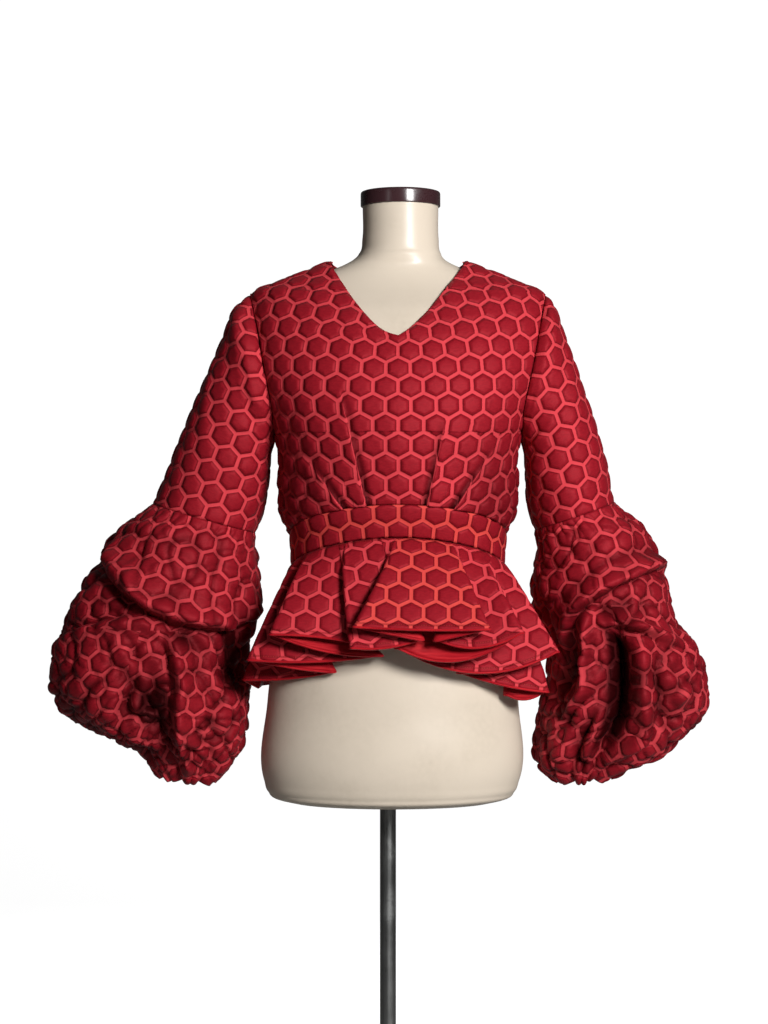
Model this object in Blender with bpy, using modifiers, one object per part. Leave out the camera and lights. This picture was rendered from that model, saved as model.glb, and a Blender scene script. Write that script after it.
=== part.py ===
"""Peplum blouse on a limbless dress form.

A long-sleeved V-neck blouse of puffed honeycomb cloth, with set-in sleeves
that end in a full, folded puff, a shaped waistband and a deeply folded
peplum. It stands on its dress form: torso, neck cap, pole and round base.

Metres, +Z up. The origin is the centre of the base's underside, and the
front of the blouse faces -Y, so +X is the wearer's left.
"""

from math import pi, radians

import bmesh
import bpy
import numpy as np
from mathutils import geometry

# Driving dimensions of the cloth
CLOTH = 0.0018              # wall of the lined, puffed cloth
PEPLUM_CLOTH = 0.0013       # wall of the single-layer peplum, measured level
SEAM = 0.0002               # each piece ends this far from its seam line
HEX_WIDTH = 0.032           # honeycomb, flat to flat
HEX_ROW = 0.026             # honeycomb, row to row
HEX_PUFF = 0.0020           # how far a comb's middle stands proud
EDGE_STEP = 0.016           # spacing of points along a cut edge
BENT_REACH = 0.035          # the inner side is finer this far from an armhole
WAIST_RADIUS = 0.138        # turns an angle round the body into flat width

# Heights of the waistband's two curved seams, at the side and the rise at the front
BAND_TOP_SIDE = 1.108
BAND_TOP_RISE = 0.041
BAND_FOOT_SIDE = 1.066
BAND_FOOT_RISE = 0.040
BAND_HEIGHT = 0.043         # flat height of the band

# The bodice, a section at each level up the cloth
# level, height, half width, front depth, back depth, centre y
BODY = np.array([
    (0.000, 1.080, 0.1445, 0.108, 0.100, 0.000),
    (0.030, 1.110, 0.1475, 0.112, 0.103, 0.000),
    (0.050, 1.130, 0.1550, 0.119, 0.108, 0.000),
    (0.070, 1.150, 0.1605, 0.125, 0.112, 0.000),
    (0.110, 1.190, 0.1610, 0.131, 0.116, 0.000),
    (0.145, 1.225, 0.1630, 0.137, 0.119, 0.000),
    (0.190, 1.270, 0.1755, 0.138, 0.121, 0.000),
    (0.230, 1.310, 0.1925, 0.133, 0.122, 0.002),
    (0.270, 1.350, 0.2040, 0.122, 0.120, 0.005),
    (0.310, 1.390, 0.2070, 0.105, 0.113, 0.008),
    (0.340, 1.418, 0.2050, 0.088, 0.103, 0.010),
    (0.362, 1.436, 0.2000, 0.075, 0.094, 0.011),
    (0.400, 1.452, 0.1680, 0.060, 0.080, 0.012),
    (0.447, 1.468, 0.1260, 0.052, 0.070, 0.012),
    (0.488, 1.482, 0.0910, 0.050, 0.064, 0.012),
])
NECK_LEVEL = 0.488          # where neckline and shoulder seam meet
SHOULDER_LEVEL = 0.362      # top of the armhole
UNDERARM_LEVEL = 0.164      # foot of the armhole
ARMHOLE_TURN = radians(29)  # how far the armhole cuts in from the side
NECK_POINT_X = 0.091
NECK_TOP_Z = 1.482
V_POINT_Z = 1.3725
LEFT_NECK_CURVE, RIGHT_NECK_CURVE = 0.74, 0.56   # the wearer's right side is rounder
BACK_NECK_Z = 1.463
ARMHOLE_POINTS = 16         # points on the front or the back of an armhole

# Waist tucks of the front: foot x and z, tip x and z, height of the fold
TUCKS = (
    (-0.070, 1.140, -0.128, 1.222, 0.0050),
    (-0.041, 1.144, -0.076, 1.300, 0.0055),
    (0.036, 1.146, 0.061, 1.262, 0.0055),
    (0.071, 1.141, 0.133, 1.236, 0.0050),
)
TUCK_WIDTH = 0.012

# Sleeve rings from below the armhole to the puff's seam, then down the puff to the cuff
# outer x, outer z, inner x, inner z, half depth, centre y
RIGHT_SLEEVE = np.array([
    (-0.2285, 1.4040, -0.1705, 1.2310, 0.067, 0.002),
    (-0.2407, 1.3708, -0.1745, 1.2180, 0.065, 0.006),
    (-0.2652, 1.3137, -0.1755, 1.2040, 0.066, 0.009),
    (-0.2883, 1.2620, -0.1765, 1.1850, 0.067, 0.013),
    (-0.3128, 1.2022, -0.1815, 1.1519, 0.068, 0.018),
    (-0.3359, 1.1505, -0.1958, 1.1111, 0.072, 0.022),
    (-0.3754, 1.1179, -0.1990, 1.0948, 0.088, 0.025),
    (-0.4094, 1.0744, -0.1945, 1.0662, 0.102, 0.028),
    (-0.4379, 1.0281, -0.1890, 1.0336, 0.112, 0.030),
    (-0.4570, 0.9819, -0.1960, 0.9900, 0.120, 0.031),
    (-0.4733, 0.9384, -0.2090, 0.9452, 0.124, 0.032),
    (-0.4760, 0.9003, -0.2070, 0.8948, 0.122, 0.032),
    (-0.4542, 0.8663, -0.2070, 0.8540, 0.112, 0.030),
    (-0.4080, 0.8404, -0.2135, 0.8228, 0.092, 0.028),
    (-0.3536, 0.8132, -0.2285, 0.7956, 0.066, 0.024),
    (-0.3237, 0.7779, -0.2530, 0.7697, 0.042, 0.022),
])
LEFT_SLEEVE = np.array([
    (0.2176, 1.4040, 0.1705, 1.2310, 0.067, 0.002),
    (0.2326, 1.3627, 0.1740, 1.2170, 0.066, 0.006),
    (0.2502, 1.3137, 0.1745, 1.2020, 0.068, 0.009),
    (0.2693, 1.2593, 0.1755, 1.1815, 0.071, 0.013),
    (0.2856, 1.2022, 0.1785, 1.1478, 0.074, 0.018),
    (0.2965, 1.1532, 0.1880, 1.1152, 0.078, 0.024),
    (0.3318, 1.1220, 0.1915, 1.0934, 0.090, 0.030),
    (0.3590, 1.0825, 0.1870, 1.0662, 0.102, 0.034),
    (0.3713, 1.0390, 0.1830, 1.0376, 0.112, 0.038),
    (0.3781, 0.9968, 0.1920, 1.0009, 0.120, 0.040),
    (0.4080, 0.9574, 0.2060, 0.9601, 0.124, 0.041),
    (0.4230, 0.8976, 0.2080, 0.9044, 0.122, 0.040),
    (0.4080, 0.8513, 0.1995, 0.8622, 0.112, 0.036),
    (0.3700, 0.8160, 0.1930, 0.8228, 0.092, 0.032),
    (0.3291, 0.7969, 0.1990, 0.7915, 0.066, 0.028),
    (0.2910, 0.7780, 0.2203, 0.7697, 0.042, 0.024),
])
PUFF_RING = 6               # the ring, counted from the armhole, where the puff starts
LAST_RING = 16
RING_LENGTH = 0.034         # mean cloth length from ring to ring
PUFF_RADIUS = 0.12          # turns an angle round a puff into width
PUFF_ROWS = 17
SLEEVE_GIRTH = 0.400        # turns an angle round the fitted sleeve into width

# Big folds of the puffs: a line from one angle and ring to another, its half width,
# a ridge's height (below 0 for a hollow), and the drop from its upper to its lower side.
# Angles turn from the outer side (0) over the front (90) to the inner side (180).
# angle, ring, angle, ring, half width, ridge, drop
RIGHT_FOLDS = (
    (0, 7.4, 60, 8.9, 0.022, 0.005, 0.014),
    (60, 8.9, 95, 10.0, 0.022, 0.005, 0.016),
    (95, 10.0, 140, 10.2, 0.022, 0.005, 0.014),
    (141, 10.2, 185, 9.6, 0.022, 0.002, 0.008),
    (-15, 10.9, 85, 10.1, 0.017, -0.009, -0.003),
    (80, 11.2, 84, 14.8, 0.022, -0.028, 0.0),
    (108, 11.0, 106, 15.0, 0.015, 0.010, 0.0),
    (100, 10.6, 135, 11.8, 0.014, -0.009, 0.0),
    (200, 8.0, 250, 9.6, 0.024, 0.004, 0.012),
    (250, 9.6, 330, 9.2, 0.024, 0.004, 0.012),
    (238, 11.0, 235, 15.0, 0.022, -0.020, 0.0),
    (292, 10.6, 300, 14.6, 0.020, -0.014, 0.0),
)
LEFT_FOLDS = (
    (0, 8.2, 56, 8.3, 0.020, 0.006, 0.012),
    (56, 8.3, 89, 9.15, 0.022, 0.007, 0.016),
    (89, 9.15, 136, 10.9, 0.022, 0.006, 0.015),
    (40, 9.5, 78, 10.1, 0.018, -0.011, 0.0),
    (88, 10.7, 92, 14.4, 0.017, -0.030, 0.0),
    (106, 10.4, 156, 13.6, 0.016, 0.011, 0.0),
    (74, 10.3, 68, 12.6, 0.016, 0.011, 0.0),
    (68, 12.6, 60, 14.4, 0.016, 0.009, 0.0),
    (30, 10.3, 44, 12.0, 0.016, -0.012, 0.0),
    (205, 8.2, 262, 9.4, 0.024, 0.004, 0.012),
    (262, 9.4, 330, 9.8, 0.024, 0.004, 0.012),
    (232, 11.2, 240, 15.0, 0.022, -0.020, 0.0),
    (300, 10.8, 292, 14.4, 0.020, -0.014, 0.0),
)
CUFF_GATHERS = 8
CUFF_GATHER_HEIGHT = 0.0035

# Peplum: each run of cloth between two fold edges, from the centre back round over the
# wearer's right side and the front, and back. A run ends at its fold edge.
# angle at the waist, edge x, y and z at the hem, sag of the hem on the run's way there
PEPLUM_EDGES = (
    (-180, 0.000, 0.176, 0.900, 0.0),
    (-165, -0.062, 0.176, 0.899, 0.0),
    (-161, -0.028, 0.163, 0.901, 0.0),
    (-142, -0.112, 0.162, 0.899, 0.0),
    (-138, -0.078, 0.149, 0.902, 0.0),
    (-116.5, -0.160, 0.120, 0.900, 0.0),
    (-112, -0.132, 0.107, 0.904, 0.0),
    (-92, -0.188, 0.036, 0.902, 0.0),
    (-84, -0.190, -0.016, 0.902, 0.0),
    (-77, -0.207, -0.060, 0.916, 0.0),
    (-70, -0.088, -0.109, 0.930, 0.004),
    (-65, -0.193, -0.117, 0.946, 0.002),
    (-59, -0.026, -0.138, 0.953, 0.005),
    (-51, -0.163, -0.146, 0.981, 0.008),
    (-31.5, -0.036, -0.160, 0.966, -0.004),
    (-27, -0.058, -0.172, 0.965, 0.0),
    (-9, 0.026, -0.178, 0.976, 0.005),
    (-1, -0.054, -0.190, 0.993, 0.0),
    (27, 0.112, -0.192, 0.990, 0.002),
    (33, 0.050, -0.179, 0.975, 0.0),
    (43.5, 0.156, -0.168, 0.984, 0.014),
    (55.5, 0.000, -0.153, 0.964, 0.026),
    (69, 0.206, -0.106, 0.956, 0.030),
    (79, 0.082, -0.114, 0.929, 0.006),
    (85, 0.194, -0.086, 0.902, 0.004),
    (89, 0.146, -0.074, 0.897, 0.008),
    (95, 0.190, 0.020, 0.900, 0.0),
    (108, 0.142, 0.098, 0.903, 0.0),
    (112.5, 0.170, 0.112, 0.900, 0.0),
    (133, 0.092, 0.142, 0.903, 0.0),
    (137, 0.122, 0.156, 0.899, 0.0),
    (157, 0.040, 0.161, 0.902, 0.0),
    (161, 0.070, 0.175, 0.899, 0.0),
    (180, 0.000, 0.176, 0.900, 0.0),
)
HEM_SIDE = 0.192            # the plain flare that the folds play about
HEM_FRONT = 0.165
HEM_BACK = 0.165
FOLD_RADIUS = 0.0050        # every fold edge is this round
FOLD_STEPS = 3
FOLD_ANGLE = 1.1            # degrees of waist on each side of a fold edge's middle
RUN_STEP = 0.066            # longest stretch of hem between two points
PEPLUM_ROWS = (0.0, 0.08, 0.24, 0.61, 1.0)
LINING_GAP = 0.0003
LINING_CLOTH = 0.0011
LINING_SHORT = 0.03         # it ends above the hem by this share of its own length

# Dress form: height, half width, front depth, back depth, centre x, centre y
FORM = np.array([
    (0.746, 0.1360, 0.084, 0.088, -0.0090, 0.000),
    (0.751, 0.1570, 0.101, 0.106, -0.0090, 0.000),
    (0.760, 0.1675, 0.108, 0.113, -0.0090, 0.000),
    (0.775, 0.1733, 0.113, 0.118, -0.0086, 0.000),
    (0.880, 0.1708, 0.114, 0.121, -0.0070, 0.000),
    (0.960, 0.1620, 0.109, 0.115, -0.0055, 0.000),
    (1.050, 0.1420, 0.096, 0.097, -0.0025, 0.000),
    (1.095, 0.1330, 0.092, 0.088, -0.0010, 0.000),
    (1.135, 0.1330, 0.094, 0.088, 0.0000, 0.000),
    (1.215, 0.1485, 0.117, 0.101, 0.0000, 0.000),
    (1.280, 0.1560, 0.124, 0.108, 0.0000, 0.000),
    (1.330, 0.1650, 0.117, 0.110, 0.0000, 0.003),
    (1.380, 0.1760, 0.1050, 0.1098, 0.0005, 0.007),
    (1.410, 0.1800, 0.0900, 0.1034, 0.0010, 0.009),
    (1.428, 0.1790, 0.0765, 0.0950, 0.0010, 0.011),
    (1.440, 0.1680, 0.0670, 0.0855, 0.0010, 0.012),
    (1.451, 0.1440, 0.0590, 0.0765, 0.0012, 0.012),
    (1.462, 0.1150, 0.0530, 0.0680, 0.0013, 0.012),
    (1.472, 0.0860, 0.050, 0.060, 0.0014, 0.012),
    (1.482, 0.0650, 0.051, 0.055, 0.0015, 0.012),
    (1.494, 0.0550, 0.0525, 0.0530, 0.0030, 0.012),
    (1.512, 0.0522, 0.0522, 0.0522, 0.0035, 0.012),
    (1.5562, 0.0517, 0.0517, 0.0517, 0.0035, 0.012),
])
FORM_SIDES = 24
NECK_CENTRE = (0.0035, 0.012)
CAP_RADIUS = 0.0545
CAP_FOOT_Z = 1.5565
CAP_TOP_Z = 1.5765
CAP_ROUND = 0.004
POLE_RADIUS = 0.0109
POLE_CLEARANCE = 0.0003
SOCKET_DEPTH = 0.110
FORM_FOOT_Z = 0.746
BODY_X = 0.0136             # blouse, torso and cap stand this far beside the pole
BASE_RADIUS = 0.175
BASE_EDGE = 0.008
BASE_CROWN = 0.021
SLEEVE_NUT_RADIUS = 0.021
SLEEVE_NUT_TOP = 0.060


def start_clean():
    """Remove every object, and make the collections for the parts and the cutters."""
    for item in list(bpy.data.objects):
        bpy.data.objects.remove(item, do_unlink=True)
    groups = []
    for name in ("peplum_blouse_on_form", "cutters"):
        group = bpy.data.collections.new(name)
        bpy.context.scene.collection.children.link(group)
        groups.append(group)
    return groups


PARTS, CUTTERS = start_clean()


def material(name, colour, roughness, metallic=0.0):
    """A Principled material with the part's colour, roughness and metallic value."""
    made = bpy.data.materials.get(name) or bpy.data.materials.new(name)
    made.use_nodes = True
    shader = made.node_tree.nodes["Principled BSDF"]
    shader.inputs["Base Color"].default_value = (*colour, 1.0)
    shader.inputs["Roughness"].default_value = roughness
    shader.inputs["Metallic"].default_value = metallic
    return made


def honeycomb_cloth():
    return material("crimson_honeycomb", (0.36, 0.018, 0.030), 0.62)


def satin():
    return material("red_satin", (0.55, 0.015, 0.025), 0.38)


def add_mesh(name, points, faces, look):
    """Make a named object from points and faces, in the collection of parts."""
    mesh = bpy.data.meshes.new(name)
    mesh.from_pydata([tuple(p) for p in points], [], faces)
    mesh.validate()
    made = bpy.data.objects.new(name, mesh)
    made.data.materials.append(look)
    PARTS.objects.link(made)
    mesh.shade_smooth()
    mesh.set_sharp_from_angle(angle=radians(50))
    return made


def along_table(table, at):
    """Smooth curves through a table's rows: cubic Hermite pieces with averaged slopes."""
    stations = table[:, 0]
    slopes = np.gradient(table, stations, axis=0)
    at = np.asarray(at, float)
    row = np.clip(np.searchsorted(stations, at) - 1, 0, len(stations) - 2)
    span = (stations[row + 1] - stations[row])[..., None]
    u = ((at - stations[row])[..., None]) / span
    low, high = table[row], table[row + 1]
    return ((2 * u**3 - 3 * u**2 + 1) * low + (u**3 - 2 * u**2 + u) * span * slopes[row]
            + (3 * u**2 - 2 * u**3) * high + (u**3 - u**2) * span * slopes[row + 1])


def unit(vectors):
    return vectors / np.maximum(np.linalg.norm(vectors, axis=-1, keepdims=True), 1e-12)


# The waist seams and the surface of the body
def band_top(angle):
    """Height of the seam between bodice and waistband, at an angle round the body."""
    return BAND_TOP_SIDE + BAND_TOP_RISE * np.maximum(np.cos(angle), 0.0) ** 1.4


def band_foot(angle):
    """Height of the seam between waistband and peplum, at an angle round the body."""
    return BAND_FOOT_SIDE + BAND_FOOT_RISE * np.maximum(np.cos(angle), 0.0) ** 1.4


def tuck_height(x, z, front):
    """Waist tucks: a fold on each line, steep toward the centre and soft outside it."""
    height = np.zeros_like(x)
    for foot_x, foot_z, tip_x, tip_z, rise in TUCKS:
        run = np.array((tip_x - foot_x, tip_z - foot_z))
        length = np.linalg.norm(run)
        run /= length
        along = ((x - foot_x) * run[0] + (z - foot_z) * run[1]) / length
        across = (x - foot_x) * run[1] - (z - foot_z) * run[0]
        inward = across * np.sign(foot_x) / TUCK_WIDTH
        slope = np.where(inward < 0, 0.9, 0.4) * inward
        fade = np.clip(1.0 - along, 0.0, 1.0) ** 0.8 * np.clip((along + 0.10) / 0.15, 0.0, 1.0)
        height += rise * fade * np.exp(-slope**2)
    return height * front


def body_base(angle, level):
    """Plain surface of the bodice: an ellipse at each level, squarer at its corners."""
    row = along_table(BODY, level)
    height, half, front, back, middle = (row[..., i] for i in range(1, 6))
    square = 1.0 + 0.035 * np.sin(2 * angle) ** 2
    depth = np.where(np.cos(angle) > 0, front, back)
    x = half * np.sin(angle) * square
    y = middle - depth * np.cos(angle) * square
    return np.stack((x, y, height), axis=-1)


def surface_normal(surface, u, v, step=0.001):
    """Outward normal of a surface, from small steps along its two directions."""
    du = surface(u + step, v) - surface(u - step, v)
    dv = surface(u, v + step) - surface(u, v - step)
    return unit(np.cross(du, dv))


def body_plain(across, level):
    """The bodice without its tucks, at the same flat coordinates as body_cloth."""
    return body_base(across / WAIST_RADIUS, level)


def body_cloth(across, level):
    """Surface of the bodice at flat coordinates: width round the waist, and level."""
    angle = across / WAIST_RADIUS
    points = body_base(angle, level)
    normal = surface_normal(body_plain, across, level)
    front = np.clip(np.cos(angle) * 3.0, 0.0, 1.0)
    return points + normal * tuck_height(points[..., 0], points[..., 2], front)[..., None]


# The armhole and the sleeves
def armhole(turn, side):
    """Angle round the body and level of the armhole's edge; turn 0 is at the shoulder."""
    middle = (SHOULDER_LEVEL + UNDERARM_LEVEL) / 2
    half = (SHOULDER_LEVEL - UNDERARM_LEVEL) / 2
    angle = pi / 2 - ARMHOLE_TURN * np.sin(turn)
    return side * angle, middle + half * np.cos(turn)


def ring_table(rings):
    """The sleeve's rings numbered from 1, because ring 0 is the armhole itself."""
    numbers = np.arange(1, len(rings) + 1, dtype=float)
    return np.column_stack((numbers, rings))


def fold_height(turn, ring, folds):
    """Big folds of a puff: each a soft ridge or hollow, with a drop across its line."""
    height = np.zeros_like(turn)
    for turn0, ring0, turn1, ring1, width, ridge, drop in folds:
        run = np.array((radians(turn1 - turn0) * PUFF_RADIUS, (ring1 - ring0) * RING_LENGTH))
        length = np.linalg.norm(run)
        run /= length
        away = (turn - radians((turn0 + turn1) / 2) + pi) % (2 * pi) - pi
        px = away * PUFF_RADIUS + length * run[0] / 2
        py = (ring - ring0) * RING_LENGTH
        along = np.clip(px * run[0] + py * run[1], 0.0, length)
        side = (py * run[0] - px * run[1]) / width
        gap = np.hypot(px - along * run[0], py - along * run[1]) / width
        height += np.exp(-gap**2) * (ridge - drop * np.clip(side, -1.5, 1.5))
    return height


def sleeve_surface(rings, folds, side):
    """Surface of a whole sleeve over the turn (0 outer, 90 front) and the ring number."""
    table = ring_table(rings)
    first_slope = table[1] - table[0]

    def plain(turn, ring):
        fade = np.clip(1.0 - ring, 0.0, 1.0)[..., None]
        row = along_table(table, np.maximum(ring, 1.0)) - first_slope * fade / (1 + fade)
        outer_x, outer_z, inner_x, inner_z, depth, middle = (row[..., i] for i in range(1, 7))
        centre = np.stack(((outer_x + inner_x) / 2, middle, (outer_z + inner_z) / 2), -1)
        half = np.stack(((outer_x - inner_x) / 2, 0 * depth, (outer_z - inner_z) / 2), -1)
        points = centre + half * np.cos(turn)[..., None]
        points[..., 1] -= depth * np.sin(turn)
        angle, level = armhole(turn, side)
        return body_base(angle, level) * fade**2 + points * (1 - fade**2)

    def folded(turn, ring):
        points = plain(turn, ring)
        normal = side * surface_normal(plain, turn, ring, 0.01)
        gather = np.clip((ring - 13.0) / 2.5, 0, 1) * CUFF_GATHER_HEIGHT * np.sin(
            CUFF_GATHERS * turn)
        inside = np.clip((ring - PUFF_RING) / 0.8, 0, 1) * np.clip((LAST_RING - ring) / 1.2, 0, 1)
        return points + normal * (fold_height(turn, ring, folds) * inside + gather)[..., None]

    return plain, folded


# Cutting cloth on the honeycomb and giving it a wall
def inside_outline(points, outline, margin):
    """True for each point inside a closed outline and further than a margin from it."""
    x, y = points[:, :1], points[:, 1:]
    x0, y0 = outline[:, 0], outline[:, 1]
    x1, y1 = np.roll(x0, -1), np.roll(y0, -1)
    crosses = (y0 > y) != (y1 > y)
    rise = np.where(y1 == y0, 1e-12, y1 - y0)
    inside = (crosses & (x < (x1 - x0) * (y - y0) / rise + x0)).sum(axis=1) % 2 == 1
    along = ((x - x0) * (x1 - x0) + (y - y0) * (y1 - y0))
    along = np.clip(along / np.maximum((x1 - x0) ** 2 + (y1 - y0) ** 2, 1e-12), 0, 1)
    gap = np.hypot(x - x0 - along * (x1 - x0), y - y0 - along * (y1 - y0)).min(axis=1)
    return inside & (gap > margin)


def honeycomb_points(outline):
    """The middles and the corners of the combs inside an outline, and their heights."""
    low, high = outline.min(axis=0), outline.max(axis=0)
    rows = np.arange(np.floor(low[1] / HEX_ROW) - 1, np.ceil(high[1] / HEX_ROW) + 2)
    columns = np.arange(np.floor(low[0] / HEX_WIDTH) - 1, np.ceil(high[0] / HEX_WIDTH) + 2)
    column, row = (grid.ravel() for grid in np.meshgrid(columns, rows))
    x = (column + 0.5 * (row % 2)) * HEX_WIDTH
    sets = (
        (np.column_stack((x, row * HEX_ROW)), 1.0),
        (np.column_stack((x + HEX_WIDTH / 2, (row + 1 / 3) * HEX_ROW)), 0.0),
        (np.column_stack((x, (row + 2 / 3) * HEX_ROW)), 0.0),
    )
    kept, raised = [], []
    for points, height in sets:
        margin = 0.0075 if height else 0.0055
        points = points[inside_outline(points, outline, margin)]
        kept.append(points)
        raised.append(np.full(len(points), height))
    return np.vstack(kept), np.concatenate(raised)


def fill_outline(outline, inner):
    """Triangles over an outline and the points inside it. Outline points come first."""
    count = len(outline)
    points = [tuple(p) for p in np.vstack((outline, inner))]
    ring = list(range(count))
    made = geometry.delaunay_2d_cdt(points, [], [ring], 1, 1e-9, True)
    origin = np.array([ids[0] for ids in made[3]])
    faces = origin[np.array(made[2])]
    middles = np.array(points)[faces].mean(axis=1)
    return faces[inside_outline(middles, outline, 0.0)].tolist()


def cloth_wall(name, outline, surface, look, tube_edges=(), miter=None, lining=None):
    """A panel cut to a flat outline, laid on a surface and given a wall.

    The outer side carries the honeycomb's raised middles, and the inner side is
    plain, with points at the middles only, but for the bend beside an armhole. Both
    share the outline's points. tube_edges welds the first and the last edge of a
    piece that closes into a tube.
    """
    lining = lining or surface
    inner, height = honeycomb_points(outline)
    count = len(outline)

    def lay(points):
        return surface(points[:, 0], points[:, 1])

    def normals(points):
        return surface_normal(surface, points[:, 0], points[:, 1])

    edge = lay(outline)
    edge_in = miter(outline, normals(outline)) if miter else normals(outline)
    bent = outline[np.abs(edge_in - normals(outline)).max(axis=1) > 0.01]
    kept = height > 0
    if len(bent):
        apart = np.linalg.norm(inner[:, None] - bent, axis=-1).min(axis=1)
        kept |= apart < BENT_REACH
    plain = inner[kept]
    outer_faces = fill_outline(outline, inner)
    plain_faces = fill_outline(outline, plain)
    top = lay(inner) + normals(inner) * (height * HEX_PUFF)[:, None]
    under = lining(plain[:, 0], plain[:, 1]) - normals(plain) * CLOTH
    edge_under = lining(outline[:, 0], outline[:, 1]) - edge_in * CLOTH
    points = np.vstack((edge, top, edge_under, under))
    shift = count + len(inner)
    faces = [tuple(f) for f in outer_faces]
    faces += [tuple(i + shift for i in reversed(f)) for f in plain_faces]
    rim = list(range(count))
    welded = set(tube_edges)
    for a, b in zip(rim, rim[1:] + rim[:1]):
        if (a, b) in welded:
            continue
        faces.append((b, a, a + shift, b + shift))
    made = add_mesh(name, points, faces, look)
    if welded:
        weld(made)
    return made


def weld(item, distance=1e-6):
    """Join an object's coincident points."""
    mesh = item.data
    work = bmesh.new()
    work.from_mesh(mesh)
    bmesh.ops.remove_doubles(work, verts=work.verts, dist=distance)
    work.to_mesh(mesh)
    work.free()


def steps(start, end, spacing=EDGE_STEP):
    """Evenly spaced values from start to end, the end left out."""
    count = max(1, int(round(abs(end - start) / spacing)))
    return np.linspace(start, end, count, endpoint=False)


# The bodice panels
def neckline(levels, point_z, power):
    """Flat width of the neckline at each level, from its height on the body."""
    row = along_table(BODY, levels)
    reach = np.clip((row[..., 1] - point_z) / (NECK_TOP_Z - point_z), 0, 1) ** power
    return np.arcsin(np.clip(reach * NECK_POINT_X / row[..., 2], -1, 1)) * WAIST_RADIUS


def level_at(height):
    return float(np.interp(height, BODY[:, 1], BODY[:, 0]))


def armhole_edge(side, front):
    """The armhole's edge in flat coordinates, from the underarm up to the shoulder."""
    turn = np.linspace(pi, 0, ARMHOLE_POINTS + 1)
    angle, level = armhole(turn if front else -turn, side)
    return np.column_stack((angle * WAIST_RADIUS, level))


def half_front(curve):
    """Outline of half of the front, from the waist's middle round to the V point."""
    edge = (pi / 2) * WAIST_RADIUS - SEAM
    foot = steps(0.0, edge)
    waist = np.column_stack((foot, band_top(foot / WAIST_RADIUS) - BODY[0, 1] + SEAM * 1.5))
    side_foot = BAND_TOP_SIDE - BODY[0, 1] + SEAM * 1.5
    rise = steps(side_foot, UNDERARM_LEVEL)
    side = np.column_stack((np.full(len(rise), edge), rise))
    scye = armhole_edge(1, True)
    scye[:, 0] = np.minimum(scye[:, 0], edge)
    rise = steps(SHOULDER_LEVEL, NECK_LEVEL)[1:]
    shoulder = np.column_stack((np.full(len(rise), edge), rise))
    low = level_at(V_POINT_Z)
    rise = low + (NECK_LEVEL - low) * np.linspace(1, 0, 16) ** 1.6
    neck = np.column_stack((np.minimum(neckline(rise, V_POINT_Z, curve), edge), rise))
    return np.vstack((waist, side, scye, shoulder, neck))


def half_back():
    """Outline of the back's wearer's-left half, from the side round to the centre back."""
    edge, middle = (pi / 2) * WAIST_RADIUS + SEAM, pi * WAIST_RADIUS - SEAM
    foot = steps(edge, middle)
    waist_level = BAND_TOP_SIDE - BODY[0, 1] + SEAM * 1.5
    waist = np.column_stack((foot, np.full(len(foot), waist_level)))
    top = level_at(BACK_NECK_Z)
    rise = steps(waist_level, top)
    centre = np.column_stack((np.full(len(rise), middle), rise))
    rise = np.linspace(top, NECK_LEVEL, 9)
    reach = neckline(rise, BACK_NECK_Z, 0.5)
    neck = np.column_stack((np.clip(pi * WAIST_RADIUS - reach, edge, middle), rise))
    fall = steps(NECK_LEVEL, SHOULDER_LEVEL)[1:]
    shoulder = np.column_stack((np.full(len(fall), edge), fall))
    scye = armhole_edge(1, False)[::-1]
    scye[:, 0] = np.maximum(scye[:, 0], edge)
    fall = steps(UNDERARM_LEVEL, waist_level)[1:]
    side = np.column_stack((np.full(len(fall), edge), fall))
    return np.vstack((waist, centre, neck, shoulder, scye, side))


def mirrored(outline):
    """The same outline on the other side, still anticlockwise."""
    return (outline * (-1, 1))[::-1]


def armhole_miter(plain, side):
    """Directions halfway between the bodice's and the sleeve's normals at the armhole."""
    def directions(turn):
        angle, level = armhole(turn, side)
        body = surface_normal(body_plain, angle * WAIST_RADIUS, level)
        sleeve = side * surface_normal(plain, turn, np.full_like(turn, 0.25), 0.01)
        half = unit(body + sleeve)
        return half / np.maximum((half * body).sum(-1), 0.8)[..., None]
    return directions


def body_miter(halves):
    """Wall directions for a bodice panel: halfway at the armholes, plain elsewhere."""
    middle = (SHOULDER_LEVEL + UNDERARM_LEVEL) / 2
    half = (SHOULDER_LEVEL - UNDERARM_LEVEL) / 2

    def directions(outline, normal):
        found = normal.copy()
        for side, directions_at in halves.items():
            along = (outline[:, 1] - middle) / half
            turn = np.arccos(np.clip(along, -1, 1))
            angle = side * outline[:, 0] / WAIST_RADIUS
            turn = np.where(angle < pi / 2, turn, -turn)
            edge = np.abs(pi / 2 - ARMHOLE_TURN * np.sin(turn) - angle) * WAIST_RADIUS
            near = (edge < 2 * SEAM) & (np.abs(along) < 1.0 + 1e-6)
            found[near] = directions_at(turn[near])
        return found
    return directions


def build_bodice(miters):
    left, right = half_front(LEFT_NECK_CURVE), half_front(RIGHT_NECK_CURVE)
    whole = np.vstack((left, mirrored(right[1:-1])))
    cloth_wall("bodice_front", whole, body_cloth, honeycomb_cloth(),
               miter=body_miter(miters), lining=body_plain)
    back = half_back()
    for side, name in ((1, "bodice_back_left"), (-1, "bodice_back_right")):
        outline = back if side > 0 else mirrored(back)
        cloth_wall(name, outline, body_cloth, honeycomb_cloth(),
                   miter=body_miter({side: miters[side]}))


# The sleeves, their puffs and cuffs
def sleeve_ring_turns():
    """Turns round a sleeve from the inner seam over the back, outer side and front."""
    return np.linspace(-pi, pi, 2 * ARMHOLE_POINTS + 1)


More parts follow.
